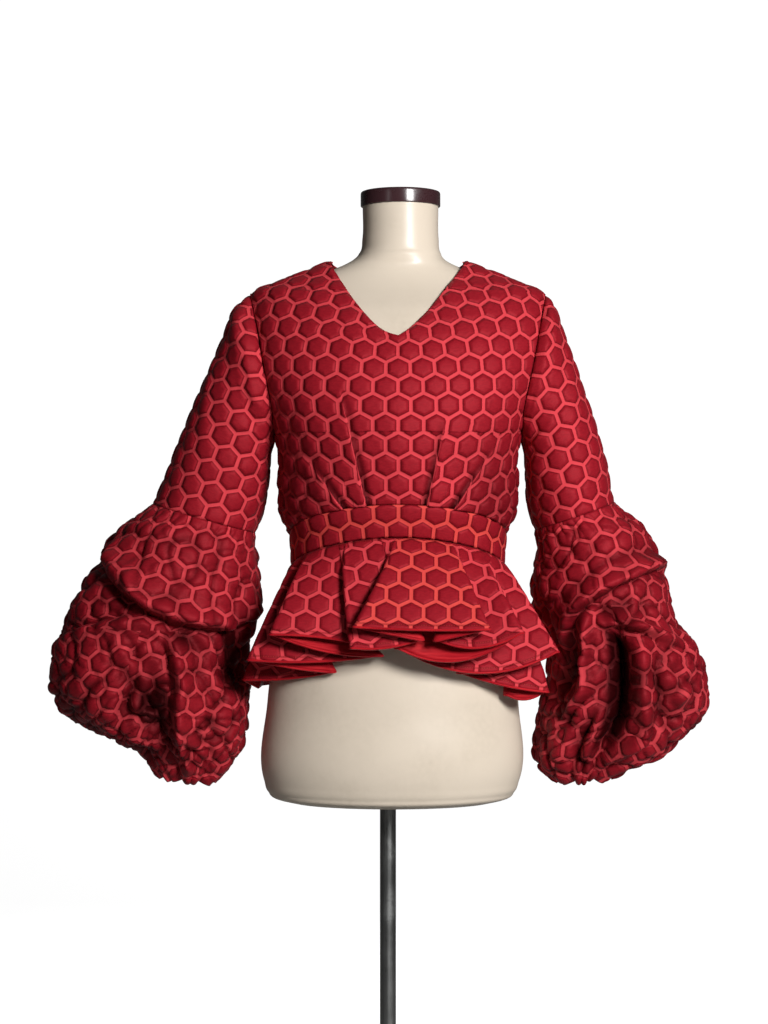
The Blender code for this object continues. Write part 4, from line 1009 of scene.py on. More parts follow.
# %% [markdown]
# ## The rings of the sleeves
# Each sleeve is a row of ovals across the arm, from the shoulder to the gathered mouth.
# The outer and inner ends of every oval were measured on the photograph, and its depth
# is what a form of this size has. Fitted sleeve and puff share the one table, so that
# they meet without a step.

# %% The rings of the sleeves
# outer x, outer z, inner x, inner z, half depth, centre y
RIGHT_SLEEVE = np.array([
    (-0.2285, 1.4040, -0.1705, 1.2310, 0.067, 0.002),
    (-0.2407, 1.3708, -0.1745, 1.2180, 0.065, 0.006),
    (-0.2652, 1.3137, -0.1755, 1.2040, 0.066, 0.009),
    (-0.2883, 1.2620, -0.1765, 1.1850, 0.067, 0.013),
    (-0.3128, 1.2022, -0.1815, 1.1519, 0.068, 0.018),
    (-0.3359, 1.1505, -0.1958, 1.1111, 0.072, 0.022),
    (-0.3754, 1.1179, -0.1990, 1.0948, 0.088, 0.025),
    (-0.4094, 1.0744, -0.1945, 1.0662, 0.102, 0.028),
    (-0.4379, 1.0281, -0.1890, 1.0336, 0.112, 0.030),
    (-0.4570, 0.9819, -0.1960, 0.9900, 0.120, 0.031),
    (-0.4733, 0.9384, -0.2090, 0.9452, 0.124, 0.032),
    (-0.4760, 0.9003, -0.2070, 0.8948, 0.122, 0.032),
    (-0.4542, 0.8663, -0.2070, 0.8540, 0.112, 0.030),
    (-0.4080, 0.8404, -0.2135, 0.8228, 0.092, 0.028),
    (-0.3536, 0.8132, -0.2285, 0.7956, 0.066, 0.024),
    (-0.3237, 0.7779, -0.2530, 0.7697, 0.042, 0.022),
])
LEFT_SLEEVE = np.array([
    (0.2176, 1.4040, 0.1705, 1.2310, 0.067, 0.002),
    (0.2326, 1.3627, 0.1740, 1.2170, 0.066, 0.006),
    (0.2502, 1.3137, 0.1745, 1.2020, 0.068, 0.009),
    (0.2693, 1.2593, 0.1755, 1.1815, 0.071, 0.013),
    (0.2856, 1.2022, 0.1785, 1.1478, 0.074, 0.018),
    (0.2965, 1.1532, 0.1880, 1.1152, 0.078, 0.024),
    (0.3318, 1.1220, 0.1915, 1.0934, 0.090, 0.030),
    (0.3590, 1.0825, 0.1870, 1.0662, 0.102, 0.034),
    (0.3713, 1.0390, 0.1830, 1.0376, 0.112, 0.038),
    (0.3781, 0.9968, 0.1920, 1.0009, 0.120, 0.040),
    (0.4080, 0.9574, 0.2060, 0.9601, 0.124, 0.041),
    (0.4230, 0.8976, 0.2080, 0.9044, 0.122, 0.040),
    (0.4080, 0.8513, 0.1995, 0.8622, 0.112, 0.036),
    (0.3700, 0.8160, 0.1930, 0.8228, 0.092, 0.032),
    (0.3291, 0.7969, 0.1990, 0.7915, 0.066, 0.028),
    (0.2910, 0.7780, 0.2203, 0.7697, 0.042, 0.024),
])
PUFF_RING, LAST_RING = 6, 16            # the puff runs from ring 6 to the mouth
SLEEVE_RADIUS, SLEEVE_STEP = 0.066, 0.05    # turn a fitted sleeve's angle and ring into
PUFF_RADIUS, RING_LENGTH = 0.12, 0.034      # metres along the cloth, and a puff's
print(len(RIGHT_SLEEVE), "rings to a sleeve, puffed from ring", PUFF_RING)

# %% [markdown]
# ## The fitted sleeves
# A set-in sleeve starts as the armhole itself and becomes a tube. Blending the
# armhole's curve into the first ring gives the cap its roll over the shoulder.

# %% The surface of a sleeve
def armhole(turn, side):
    """Angle and level of the armhole's edge; turn 0 is at the shoulder."""
    return (side * (pi / 2 - ARMHOLE_TURN * np.sin(turn)),
            ARMHOLE_MIDDLE + ARMHOLE_HALF * np.cos(turn))


def sleeve(turn, ring, rings, side):
    """An ellipse at each ring. Above ring 1 it blends into the armhole, and its rings
    ease out along their first slope."""
    table = np.column_stack((np.arange(1.0, len(rings) + 1), rings))
    fade = np.clip(1.0 - ring, 0.0, 1.0)[..., None]
    row = along_table(table, np.maximum(ring, 1.0)) - (table[1] - table[0]) * fade / (1 + fade)
    outer_x, outer_z, inner_x, inner_z, depth, middle = np.moveaxis(row, -1, 0)[1:]
    swing, front = np.cos(turn), np.sin(turn)
    tube = np.stack(((outer_x + inner_x + (outer_x - inner_x) * swing) / 2,
                     middle - depth * front,
                     (outer_z + inner_z + (outer_z - inner_z) * swing) / 2), axis=-1)
    return body(*armhole(turn, side)) * fade**2 + tube * (1 - fade**2)


print("armhole at the shoulder:", [round(float(v), 3) for v in armhole(0.0, 1)])

# %% [markdown]
# ## Drag folds
# Where a sleeve hangs from a wider part, soft folds drag across it. Each is a line
# from one place on the sleeve to another, with a bell across it, which is easier to
# place than a simulated fold.

# %% Fitted sleeves
def drag_folds(turn, ring, folds):
    """Soft ridges between two points of the sleeve: a bell across each line."""
    height = np.zeros_like(turn)
    for turn0, ring0, turn1, ring1, width, rise in folds:
        start = np.array((radians(turn0) * SLEEVE_RADIUS, ring0 * SLEEVE_STEP))
        run = np.array((radians(turn1) * SLEEVE_RADIUS, ring1 * SLEEVE_STEP)) - start
        x, y = turn * SLEEVE_RADIUS - start[0], ring * SLEEVE_STEP - start[1]
        share = np.clip((x * run[0] + y * run[1]) / (run @ run), 0, 1)
        gap = np.hypot(x - share * run[0], y - share * run[1]) / width
        height += rise * np.exp(-gap**2) * np.sin(pi * np.clip(share, 0.04, 0.96)) ** 0.5
    return height


# turn, ring, turn, ring, half width, height
RIGHT_DRAGS = ((165, 1.6, 92, 3.0, 0.010, 0.0030), (160, 3.4, 96, 4.6, 0.011, 0.0026),
               (20, 2.2, 70, 4.4, 0.013, 0.0022), (-60, 1.8, -120, 3.6, 0.012, 0.0028),
               (-40, 4.0, -130, 5.0, 0.012, 0.0026), (120, 0.5, 88, 1.8, 0.010, 0.0024))
LEFT_DRAGS = ((168, 1.8, 98, 2.9, 0.010, 0.0030), (160, 3.2, 104, 4.9, 0.011, 0.0028),
              (24, 1.8, 74, 3.9, 0.013, 0.0022), (-58, 2.0, -122, 3.4, 0.012, 0.0028),
              (-44, 4.2, -126, 5.1, 0.012, 0.0026), (124, 0.5, 90, 1.7, 0.010, 0.0024))


def fitted_sleeve(word, rings, drags, side, seed):
    """One sleeve from its armhole to the puff, as a closed grid of turns and rings."""
    around = np.linspace(-pi, pi, 127)
    ring = PUFF_RING * np.linspace(1, 0, 88)[:, None] ** 1.1
    turn, ring = np.broadcast_arrays(-side * around, ring)
    plain = sleeve(turn, ring, rings, side)
    rough = np.stack((np.broadcast_to(around * SLEEVE_RADIUS, ring.shape),
                      -ring * SLEEVE_STEP), axis=-1)
    index = numbered(*ring.shape)
    flat = flat_maps([(plain.reshape(-1, 3), [index], rough.reshape(-1, 2))])[0]
    length = arc(plain, 0)
    edge = np.minimum(length, length[-1:] - length)
    normal = grid_normals(plain, closed=True)
    height = comb_height(flat, edge) - seam_press(edge)
    bent = (turn + pi) % (2 * pi) - pi
    inside = np.clip(edge / 0.02, 0, 1)
    height += (drag_folds(bent, ring, drags) + 0.0008 * ripples(plain, seed, 0.07)) * inside
    height[:, -1] = height[:, 0]
    made = plain + normal * height[..., None]
    index[:, -1] = index[:, 0]
    item = cloth(f"fitted_sleeve_{word}", f"sleeve_{word}", made.reshape(-1, 3),
                 [(index, flat)], JACQUARD, values={"edge": edge.ravel(), "warm": 0.0})


fitted_sleeve("right", RIGHT_SLEEVE, RIGHT_DRAGS, -1, 11)
fitted_sleeve("left", LEFT_SLEEVE, LEFT_DRAGS, 1, 12)

# %% [markdown]
# ## The puffs
# The lower sleeves are cut far too full and gathered in above and below, so they hang
# in billows that fold over each other. A cloth simulation makes such folds, but not
# the ones that this blouse has. Each fold is therefore drawn as a line on the
# puff: a ridge, a drop across it, and a droop that lets the upper side hang over.

# %% The fold lines of the puffs
# half width, ridge, drop across, droop; then the line as turns and rings
RIGHT_FOLDS = (
    (0.014, 0.005, 0.014, 0.010, ((36, 8.1), (76, 9.0), (89, 9.4), (107, 9.7),
                                  (139, 10.0), (182, 9.7))),
    (0.012, 0.001, 0.006, 0.002, ((-8, 7.7), (36, 8.1))),
    (0.011, 0.003, -0.011, -0.007, ((10, 10.5), (50, 10.0), (74, 9.8), (93, 9.75))),
    (0.010, -0.014, -0.006, 0.0, ((95, 9.9), (113, 10.3), (135, 11.1))),
    (0.012, 0.010, 0.012, 0.007, ((99, 10.1), (110, 10.8), (113, 11.7), (107, 13.2),
                                  (98, 14.9))),
    (0.018, -0.030, 0.0, 0.0, ((96, 11.3), (98, 12.1), (91, 13.2), (84, 14.4))),
    (0.022, -0.018, 0.0, 0.0, ((150, 10.2), (160, 11.4))),
    (0.009, 0.007, 0.005, 0.0, ((32, 7.8), (67, 8.5), (82, 9.2))),
    (0.009, -0.008, 0.0, 0.0, ((22, 8.1), (64, 8.9), (80, 9.5))),
    (0.008, -0.007, 0.0, 0.0, ((37, 9.5), (62, 9.5), (73, 9.1))),
    (0.007, -0.008, 0.0, 0.0, ((90, 10.2), (84, 10.7), (95, 11.2))),
    (0.008, 0.006, 0.0, 0.0, ((72, 10.5), (89, 11.2))),
    (0.010, -0.012, 0.0, 0.0, ((76, 11.1), (86, 11.8), (77, 12.7), (70, 13.6))),
    (0.007, 0.009, 0.0, 0.0, ((93, 11.7), (99, 12.3), (106, 11.7))),
    (0.007, 0.010, 0.0, 0.0, ((82, 12.2), (92, 12.9), (88, 13.6))),
    (0.007, -0.009, 0.0, 0.0, ((80, 12.9), (84, 13.6), (94, 13.9))),
    (0.010, -0.007, 0.0, 0.0, ((122, 10.7), (130, 11.8))),
    (0.008, -0.007, 0.0, 0.0, ((137, 11.2), (151, 11.9))),
    (0.008, -0.008, 0.0, 0.0, ((108, 14.1), (120, 15.0))),
    (0.022, -0.018, 0.0, 0.0, ((14, 14.9), (40, 14.6), (70, 14.8))),
    (0.008, -0.005, 0.0, 0.0, ((56, 6.6), (62, 7.6), (58, 8.3))),
    (0.021, 0.005, 0.015, 0.010, ((200, 8.0), (250, 9.6), (330, 9.2))),
    (0.020, -0.022, 0.0, 0.0, ((238, 11.0), (235, 15.0))),
    (0.018, -0.016, 0.0, 0.0, ((292, 10.6), (300, 14.6))),
)
LEFT_FOLDS = (
    (0.013, 0.006, 0.014, 0.010, ((10, 8.4), (30, 8.2), (56, 8.3), (78, 8.6), (99, 9.0),
                                  (117, 9.5), (142, 10.7))),
    (0.012, -0.012, 0.0, 0.0, ((97, 9.7), (73, 9.5))),
    (0.011, 0.011, 0.014, 0.009, ((50, 10.8), (73, 10.35), (86, 10.05), (99, 10.25))),
    (0.017, -0.046, 0.0, 0.0, ((93, 10.5), (97, 10.9), (104, 11.9), (98, 13.5), (94, 14.6))),
    (0.010, 0.013, 0.008, 0.006, ((108, 9.9), (119, 10.6), (126, 11.4), (125, 12.0),
                                  (142, 13.2))),
    (0.012, 0.013, -0.009, -0.007, ((79, 10.4), (86, 11.3), (87, 12.1), (76, 13.3),
                                    (84, 14.2))),
    (0.010, -0.016, 0.0, 0.0, ((135, 10.8), (139, 11.5), (158, 12.4))),
    (0.010, -0.014, 0.0, 0.0, ((64, 11.0), (74, 11.7), (68, 12.5), (50, 13.3))),
    (0.010, -0.015, 0.0, 0.0, ((115, 12.2), (121, 13.4), (115, 15.0))),
    (0.007, -0.007, 0.0, 0.0, ((72, 11.3), (58, 11.5), (44, 11.2))),
    (0.007, 0.006, 0.0, 0.0, ((66, 11.6), (54, 12.0), (40, 12.0))),
    (0.007, -0.008, 0.0, 0.0, ((68, 11.9), (57, 12.4), (42, 12.6))),
    (0.007, -0.007, 0.0, 0.0, ((74, 13.0), (58, 12.9), (40, 13.4))),
    (0.007, 0.006, 0.0, 0.0, ((62, 13.2), (48, 13.8))),
    (0.008, -0.004, 0.0, 0.0, ((130, 7.1), (114, 7.5))),
    (0.007, -0.004, 0.0, 0.0, ((133, 6.7), (98, 6.5))),
    (0.010, -0.007, 0.0, 0.0, ((10, 7.8), (51, 7.8))),
    (0.009, -0.010, 0.0, 0.0, ((46, 8.7), (60, 9.6), (56, 10.2))),
    (0.021, 0.005, 0.015, 0.010, ((205, 8.2), (262, 9.4), (330, 9.8))),
    (0.020, -0.022, 0.0, 0.0, ((232, 11.2), (240, 15.0))),
    (0.018, -0.016, 0.0, 0.0, ((300, 10.8), (292, 14.4))),
)
print("folds:", len(RIGHT_FOLDS), "on the right puff,", len(LEFT_FOLDS), "on the left")

# %% [markdown]
# ## From a fold line to moved cloth
# A drawn line becomes a fold by its distance alone. The line is followed stretch by
# stretch, the nearest one counts, and its ends are weaker, so that a fold dies away.

# %% Folds
def fold_shift(turn, ring, folds):
    """Height of the folds, how far they slide the cloth round and down, and how much
    they shade it. Across each line, a bell is the ridge or valley, a smooth step the
    drop, and a bell above it the droop. The nearest stretch of a line counts."""
    height, shade = np.zeros_like(turn), np.zeros_like(turn)
    slide = np.zeros(turn.shape + (2,))
    for width, ridge, drop, droop, line in folds:
        gap, side = np.full(turn.shape, 99.0), np.zeros_like(turn)
        across, strength = np.zeros(turn.shape + (2,)), np.zeros_like(turn)
        ends = 0.3 if len(line) > 2 else 0.9
        shares = [ends] + [1.0] * (len(line) - 2) + [ends]
        for (turn0, ring0), (turn1, ring1), low, high in zip(line, line[1:], shares, shares[1:]):
            run = np.array((radians(turn1 - turn0) * PUFF_RADIUS, (ring1 - ring0) * RING_LENGTH))
            length = np.linalg.norm(run)
            run /= length
            away = (turn - radians((turn0 + turn1) / 2) + pi) % (2 * pi) - pi
            x = away * PUFF_RADIUS + length * run[0] / 2
            y = (ring - ring0) * RING_LENGTH
            along = np.clip(x * run[0] + y * run[1], 0.0, length)
            far = np.hypot(x - along * run[0], y - along * run[1]) / width
            nearer = far < gap
            gap = np.where(nearer, far, gap)
            side = np.where(nearer, (y * run[0] - x * run[1]) / width, side)
            across = np.where(nearer[..., None], (-run[1], run[0]), across)
            strength = np.where(nearer, low + (high - low) * along / length, strength)
        bell = np.exp(-gap ** (2.0 if ridge > 0 else 1.5))
        height += strength * (bell * ridge
                              - 1.25 * np.exp(-gap**2) * drop * np.tanh(3.4 * side))
        near = strength * np.exp(-((side + 0.35)**2 + gap**2 - side**2) * 1.4)
        slide += droop * near[..., None] * across
        under = 1 / (1 + np.exp(-9 * (side * np.sign(drop) - 0.1))) if drop else 0.0
        dark = np.maximum(under * np.exp(-gap / 0.9) * min(1.0, abs(drop) / 0.012),
                          np.clip(-ridge / 0.015 * np.exp(-gap**2), 0, 1))
        shade = np.maximum(shade, dark * strength)
    return height, slide, shade


on_line = np.radians([[36.0, 76.0, 107.0]]), np.array([[8.1, 9.0, 9.7]])
print("height along the first fold:", fold_shift(*on_line, RIGHT_FOLDS[:1])[0].round(4))

# %% [markdown]
# ## Gathers and crumples
# A gathered seam makes a row of rounded ridges with sharp valleys, and the cloth below
# is crumpled. Both are noise with its valleys sharpened: a sine wave whose lower half
# is turned up for the gathers, and a net of creases where soft noise passes zero.

# %% The shape of a puff
def gathers(turn, ring, count, seed):
    """Gathers along a seam: rounded ridges with sharp valleys, of uneven width."""
    rng = np.random.default_rng(seed)
    a, b, c = rng.uniform(0, 2 * pi, 3)
    uneven = 0.9 * np.sin(3 * turn + a) + 0.6 * np.sin(5 * turn + b + 0.5 * ring)
    return np.abs(np.sin(count * turn / 2 + uneven + 0.15 * np.sin(2 * ring + c))) ** 0.7 - 0.6


def creases(points, seed, size):
    """Sharp valleys in a loose net, where soft noise passes through zero."""
    return -np.exp(-np.abs(ripples(points, seed, size) / 0.16) ** 1.3)


def puff_shape(rings, folds, side, seed, turn, ring):
    """Fullness, folds, gathers and crumples added to the plain tube of a puff, and the
    shade that lies in them."""
    plain = sleeve(turn, ring, rings, side)
    normal = grid_normals(plain, closed=True)
    loop = np.concatenate((plain[:, -2:-1], plain, plain[:, 1:2]), axis=1)
    around = -side * unit(loop[:, 2:] - loop[:, :-2])
    down = -unit(np.gradient(plain, axis=0))
    inside = np.clip((ring - PUFF_RING) / 0.8, 0, 1) * np.clip((LAST_RING - ring) / 1.2, 0, 1)
    height, slide, shade = fold_shift(turn, ring, folds)
    top = np.clip(1 - (ring - PUFF_RING) / 1.6, 0, 1)
    foot = np.clip((ring - 9.6) / 4.6, 0, 1)
    # crumples, which grow towards the gathered foot
    large, small = creases(plain, seed + 2, 0.085), creases(plain, seed + 3, 0.040)
    more = 0.0030 * ripples(plain, seed, 0.10) + 0.0018 * ripples(plain, seed + 1, 0.045)
    more += (0.0042 + 0.0052 * foot) * (large + 0.3) + (0.0017 + 0.0040 * foot) * (small + 0.3)
    height = (height + more) * inside
    # gathers, which die away from the upper seam and grow towards the foot
    top *= np.clip((ring - PUFF_RING) / 0.2, 0.25, 1)
    height += 0.0034 * gathers(turn, ring, 30, seed) * top
    height += foot**2 * (0.0050 * gathers(turn, ring, 17, seed + 5) + 0.0030 * np.sin(8 * turn))
    slide = slide * inside[..., None]
    shade = np.maximum(shade, -(0.46 + 0.24 * foot) * large - (0.20 + 0.42 * foot) * small)
    made = plain + normal * height[..., None] + around * slide[..., :1] + down * slide[..., 1:]
    # painted shade: a little over the whole puff, more in its folds and creases
    return made, np.clip((shade + 0.07) * inside, 0, 1)


print("depth of the creases at one place:", creases(np.zeros((1, 3)), 3, 0.04).round(2))

# %% [markdown]
# ## The two puffs
# A puff is far from flat, so its pattern is laid flat in patches that meet under the
# folds, where their joins don't show. The shape is a closed grid, welded at the inner
# side of the arm, and its combs are lower, since the cloth there is pulled by folds.

# %% Puffs
PUFF_COLUMNS, PUFF_ROWS = 252, 146
PUFF_MAP_RADIUS = 0.11                  # for the rough map alone


def puff(word, rings, folds, side, seed, split, cuts):
    """One puff. Its pattern is laid flat in patches that meet under the folds: two above
    the great fold at ring split, and one between each two cuts below it."""
    around = np.linspace(-pi, pi, PUFF_COLUMNS + 1)
    ring = np.linspace(LAST_RING, PUFF_RING, PUFF_ROWS)[:, None]
    turn, ring = np.broadcast_arrays(-side * around, ring)
    shape, shade = puff_shape(rings, folds, side, seed, turn, ring)
    shape[:, -1] = shape[:, 0]
    rough = np.stack((np.broadcast_to(around * PUFF_MAP_RADIUS, ring.shape),
                      -ring * RING_LENGTH), axis=-1)
    index = numbered(PUFF_ROWS, PUFF_COLUMNS + 1)
    middle = int(np.argmin(np.abs(ring[:, 0] - split)))

    def column(degrees):
        """The grid's column nearest to an angle."""
        return int(np.argmin(np.abs(around - radians(degrees))))

    low = [0] + [column(cut) for cut in cuts] + [PUFF_COLUMNS]
    high = [0, column(25 * side), PUFF_COLUMNS]
    parts = [index[:middle + 1, a:b + 1] for a, b in zip(low, low[1:])]
    parts += [index[middle:, a:b + 1] for a, b in zip(high, high[1:])]
    pieces = [(shape.reshape(-1, 3), [part], rough.reshape(-1, 2)) for part in parts]
    maps = flat_maps(pieces, step=6)
    at = np.zeros((index.size, 2))
    for part, flat in zip(parts, maps):
        at[part.ravel()] = flat.reshape(-1, 2)
    length = arc(shape, 0)
    edge = np.minimum(length, length[-1:] - length)
    height = comb_height(at.reshape(PUFF_ROWS, -1, 2), edge, PUFF_RISE)
    height[:, -1] = height[:, 0]
    made = shape + grid_normals(shape, closed=True) * height[..., None]
    welded = index.copy()
    welded[:, -1] = welded[:, 0]
    patches = [(welded.ravel()[part], flat) for part, flat in zip(parts, maps)]
    item = cloth(f"puff_{word}", f"sleeve_puff_{word}", made.reshape(-1, 3), patches, JACQUARD,
                 values={"edge": edge.ravel(), "warm": 0.0, "shadow": shade.ravel()})


puff("right", RIGHT_SLEEVE, RIGHT_FOLDS, -1, 21, 10.1, (-96, -6, 84))
puff("left", LEFT_SLEEVE, LEFT_FOLDS, 1, 31, 9.5, (-88, 10, 100))

# %% [markdown]
# ## The waistband
# The band is a strip in three parts, sewn between the bodice and the peplum. It lies
# on the bodice's own surface between two seams that rise to the front, so its points
# come from that surface, and only its lower edge is kept upright.

# %% Waistband
BAND_ROWS, BAND_GAP = 15, 0.0015        # rows of its grid; angle left open at its ends
BAND_PATTERN = 0.0085                   # how far up the band a row of combs is centred


def waist_shell(angle, height):
    """The bodice's surface, kept upright below its lowest section."""
    points = body(angle, np.maximum(height - BODY[0, 1], 0.0))
    points[..., 2] = height
    return points


def waistband(name, node, start, end, columns):
    """A part of the band between two angles, straight threads from foot to top."""
    angle = np.linspace(start, end, columns)
    share = np.linspace(0, 1, BAND_ROWS)[:, None]
    low, high = waist_seam(angle, BAND_FOOT), waist_seam(angle, BAND_TOP)
    plain = waist_shell(np.broadcast_to(angle, (BAND_ROWS, columns)),
                        low + (high - low) * share)
    across = arc(plain, 1)[BAND_ROWS // 2]
    across = across - np.interp(0 if start < 0 < end else start, angle, across)
    up = arc(plain, 0)
    flat = np.stack((np.broadcast_to(across, up.shape), up - BAND_PATTERN), axis=-1)
    edge = np.minimum(up, up[-1:] - up)
    made = puffed(plain, flat, edge, 0.0005 + 0.0005 * ripples(plain, 41, 0.05), BAND_RISE)
    index = numbered(BAND_ROWS, columns)
    item = cloth(name, node, made.reshape(-1, 3), [(index, flat)], JACQUARD,
                 values={"edge": edge.ravel(), "warm": 1.0})


waistband("band_front", "waistband_front", -pi / 2 + BAND_GAP, pi / 2 - BAND_GAP, 132)
waistband("band_back_left", "waistband_back_left", pi / 2 + BAND_GAP, pi - BAND_GAP, 64)
waistband("band_back_right", "waistband_back_right", -pi + BAND_GAP, -pi / 2 - BAND_GAP, 64)

# %% [markdown]
# ## The line of the peplum's hem
# The peplum is a circle of cloth that folds back on itself. Seen from above, its hem
# is one line that doubles back at every fold edge. The line is drawn first, from a
# table of the fold edges, with a small half circle where the cloth turns.

# %% Hem line
# angle at the waist, then x, y and z of each fold edge at the hem, and how far the hem
# sags on its way there
PEPLUM_EDGES = (
    (-180, 0.000, 0.176, 0.900, 0.0), (-165, -0.062, 0.176, 0.899, 0.0),
    (-161, -0.028, 0.163, 0.901, 0.0), (-142, -0.112, 0.162, 0.899, 0.0),
    (-138, -0.078, 0.149, 0.902, 0.0), (-116.5, -0.160, 0.120, 0.900, 0.0),
    (-112, -0.132, 0.107, 0.904, 0.0), (-92, -0.188, 0.036, 0.902, 0.0),
    (-84, -0.190, -0.016, 0.902, 0.0), (-77, -0.207, -0.060, 0.916, 0.0),
    (-70, -0.088, -0.109, 0.930, 0.004), (-65, -0.193, -0.117, 0.946, 0.002),
    (-59, -0.026, -0.138, 0.953, 0.005), (-51, -0.163, -0.146, 0.981, 0.008),
    (-31.5, -0.036, -0.160, 0.966, -0.004), (-27, -0.058, -0.172, 0.965, 0.0),
    (-9, 0.026, -0.178, 0.976, 0.005), (-1, -0.054, -0.190, 0.993, 0.0),
    (27, 0.112, -0.192, 0.990, 0.002), (33, 0.050, -0.179, 0.975, 0.0),
    (43.5, 0.156, -0.168, 0.984, 0.014), (55.5, 0.000, -0.153, 0.964, 0.026),
    (69, 0.206, -0.106, 0.956, 0.030), (79, 0.082, -0.114, 0.929, 0.006),
    (85, 0.194, -0.086, 0.902, 0.004), (89, 0.146, -0.074, 0.897, 0.008),
    (95, 0.190, 0.020, 0.900, 0.0), (108, 0.142, 0.098, 0.903, 0.0),
    (112.5, 0.170, 0.112, 0.900, 0.0), (133, 0.092, 0.142, 0.903, 0.0),
    (137, 0.122, 0.156, 0.899, 0.0), (157, 0.040, 0.161, 0.902, 0.0),
    (161, 0.070, 0.175, 0.899, 0.0), (180, 0.000, 0.176, 0.900, 0.0),
)
FOLD_RADIUS, FOLD_ANGLE = 0.0050, 1.1   # how round a fold edge is, half its waist angle


def hem_line(run_step, fold_steps):
    """The hem from above: points, waist angles, heights, the round of each fold edge,
    which stands off on its own, and the point at the middle of each fold."""
    edges = np.array(PEPLUM_EDGES)
    flat = edges[:, 1:3]
    points, angles, heights, rounds, folds, count = [], [], [], [], [], 0
    start, start_angle, start_height = flat[0], edges[0, 0], edges[0, 3]
    for i in range(1, len(edges)):
        angle, height, sag = edges[i, 0], edges[i, 3], edges[i, 4]
        way_in = flat[i] - flat[i - 1]
        way_out = flat[i + 1] - flat[i] if i + 1 < len(edges) else way_in
        bend, lift, turn = flat[i:i + 1], np.zeros((1, 2)), 0.0
        if way_in @ way_out < 0:
            ahead = unit(way_in)
            side = np.sign(way_in[0] * way_out[1] - way_in[1] * way_out[0])
            left = np.array((-ahead[1], ahead[0])) * side
            swing = np.linspace(0, pi, fold_steps + 1)[:, None]
            bend = flat[i] - FOLD_RADIUS * left * np.cos(swing)
            lift, turn = FOLD_RADIUS * ahead * np.sin(swing), FOLD_ANGLE
        steps = max(2, int(round(np.linalg.norm(bend[0] - start) / run_step)))
        share = np.linspace(0, 1, steps + 1)[:-1, None]
        share = share if i == 1 else share[1:]
        points += [start + (bend[0] - start) * share, bend]
        angles += [start_angle + (angle - turn - start_angle) * share[:, 0]]
        angles += [np.linspace(angle - turn, angle + turn, len(bend))]
        heights += [start_height + (height - start_height) * share[:, 0]
                    - 4 * sag * share[:, 0] * (1 - share[:, 0])]
        heights += [np.full(len(bend), height)]
        rounds += [np.zeros((len(share), 2)), lift]
        if len(bend) > 1:
            folds.append(count + len(share) + fold_steps // 2)
        count += len(share) + len(bend)
        start, start_angle, start_height = bend[-1], angle + turn, height
    return (np.vstack(points), np.radians(np.concatenate(angles)), np.concatenate(heights),
            np.vstack(rounds), [0] + folds + [count - 1])


HEM, HEM_ANGLE, HEM_HEIGHT, HEM_ROUND, HEM_FOLDS = hem_line(0.0046, 8)
print("the hem's line has", len(HEM), "points")

# %% [markdown]
# ## From waist to hem
# Straight threads join the waist to the hem. The waist first widens to a plain flare
# and the hem's own line fades in, so the folds are closed above and open below.

# %% The surface of the peplum
HEM_SIDE, HEM_FRONT, HEM_BACK = 0.192, 0.165, 0.165     # the plain flare at the hem
WAIST_RADIUS = 0.138
CENTRE_SEAM = 0.0002        # half the centre back's gap at the waist; the hem's is twice that


def peplum(share):
    """Rows of the peplum at shares of its length, from waist (0) to hem (1): the waist
    line grows to a plain flare, and the hem's own line fades in, sideways late and
    forward early, so that the folds open downward."""
    limit = pi - CENTRE_SEAM / WAIST_RADIUS
    angle = np.clip(HEM_ANGLE, -limit, limit)
    hem = HEM.copy()
    hem[0, 0], hem[-1, 0] = -2 * CENTRE_SEAM, 2 * CENTRE_SEAM
    top = waist_shell(angle, waist_seam(angle, BAND_FOOT))
    depth = np.where(np.cos(angle) > 0, HEM_FRONT, HEM_BACK)
    flare = np.column_stack((HEM_SIDE * np.sin(angle), -depth * np.cos(angle)))
    share = np.asarray(share)[:, None]
    rows = np.empty((len(share), len(hem), 3))
    for axis, power in enumerate((1.25, 0.65)):
        rows[..., axis] = (top[:, axis] + (flare[:, axis] - top[:, axis]) * share ** 0.75
                           + (hem[:, axis] - flare[:, axis]) * share ** power
                           + HEM_ROUND[:, axis] * share ** 0.5)
    rows[..., 2] = top[:, 2] + (HEM_HEIGHT - top[:, 2]) * share
    return rows


def level_out(rows):
    """Level directions out of the cloth, at right angles to its rows."""
    across = np.gradient(rows, axis=1)
    return unit(np.stack((across[..., 1], -across[..., 0], 0 * across[..., 0]), -1))


def set_in(rows, depth):
    """The same rows moved level toward the cloth's inner side."""
    return rows - np.asarray(depth)[..., None] * level_out(rows)


print("peplum at the centre front:", peplum([0.0, 1.0])[:, len(HEM) // 2].round(3).tolist())

# %% [markdown]
# ## The peplum's sheet and its facing
# The cloth between two fold edges is nearly flat, so each stretch is laid flat on its
# own, and the pattern changes direction at a fold, as on the real one. The facing is a
# second sheet just inside the first, from the hem up.

# %% Peplum and facing
def fold_patches(rows):
    """Flat maps of the cloth between one fold edge and the next."""
    index = numbered(*rows.shape[:2])
    middle = rows.shape[0] // 3
    rough = np.stack((np.broadcast_to(arc(rows, 1)[middle], rows.shape[:2]), arc(rows, 0)), -1)
    parts = [index[:, a:b + 1] for a, b in zip(HEM_FOLDS, HEM_FOLDS[1:])]
    maps = []
    for part in parts:
        a, b = part[0, 0], part[0, -1]
        moved = rough.copy()
        moved[..., 0] -= (rough[middle, a, 0] + rough[middle, b, 0]) / 2
        maps.append((rows.reshape(-1, 3), [part], moved.reshape(-1, 2)))
    return list(zip(parts, flat_maps(maps, step=5)))


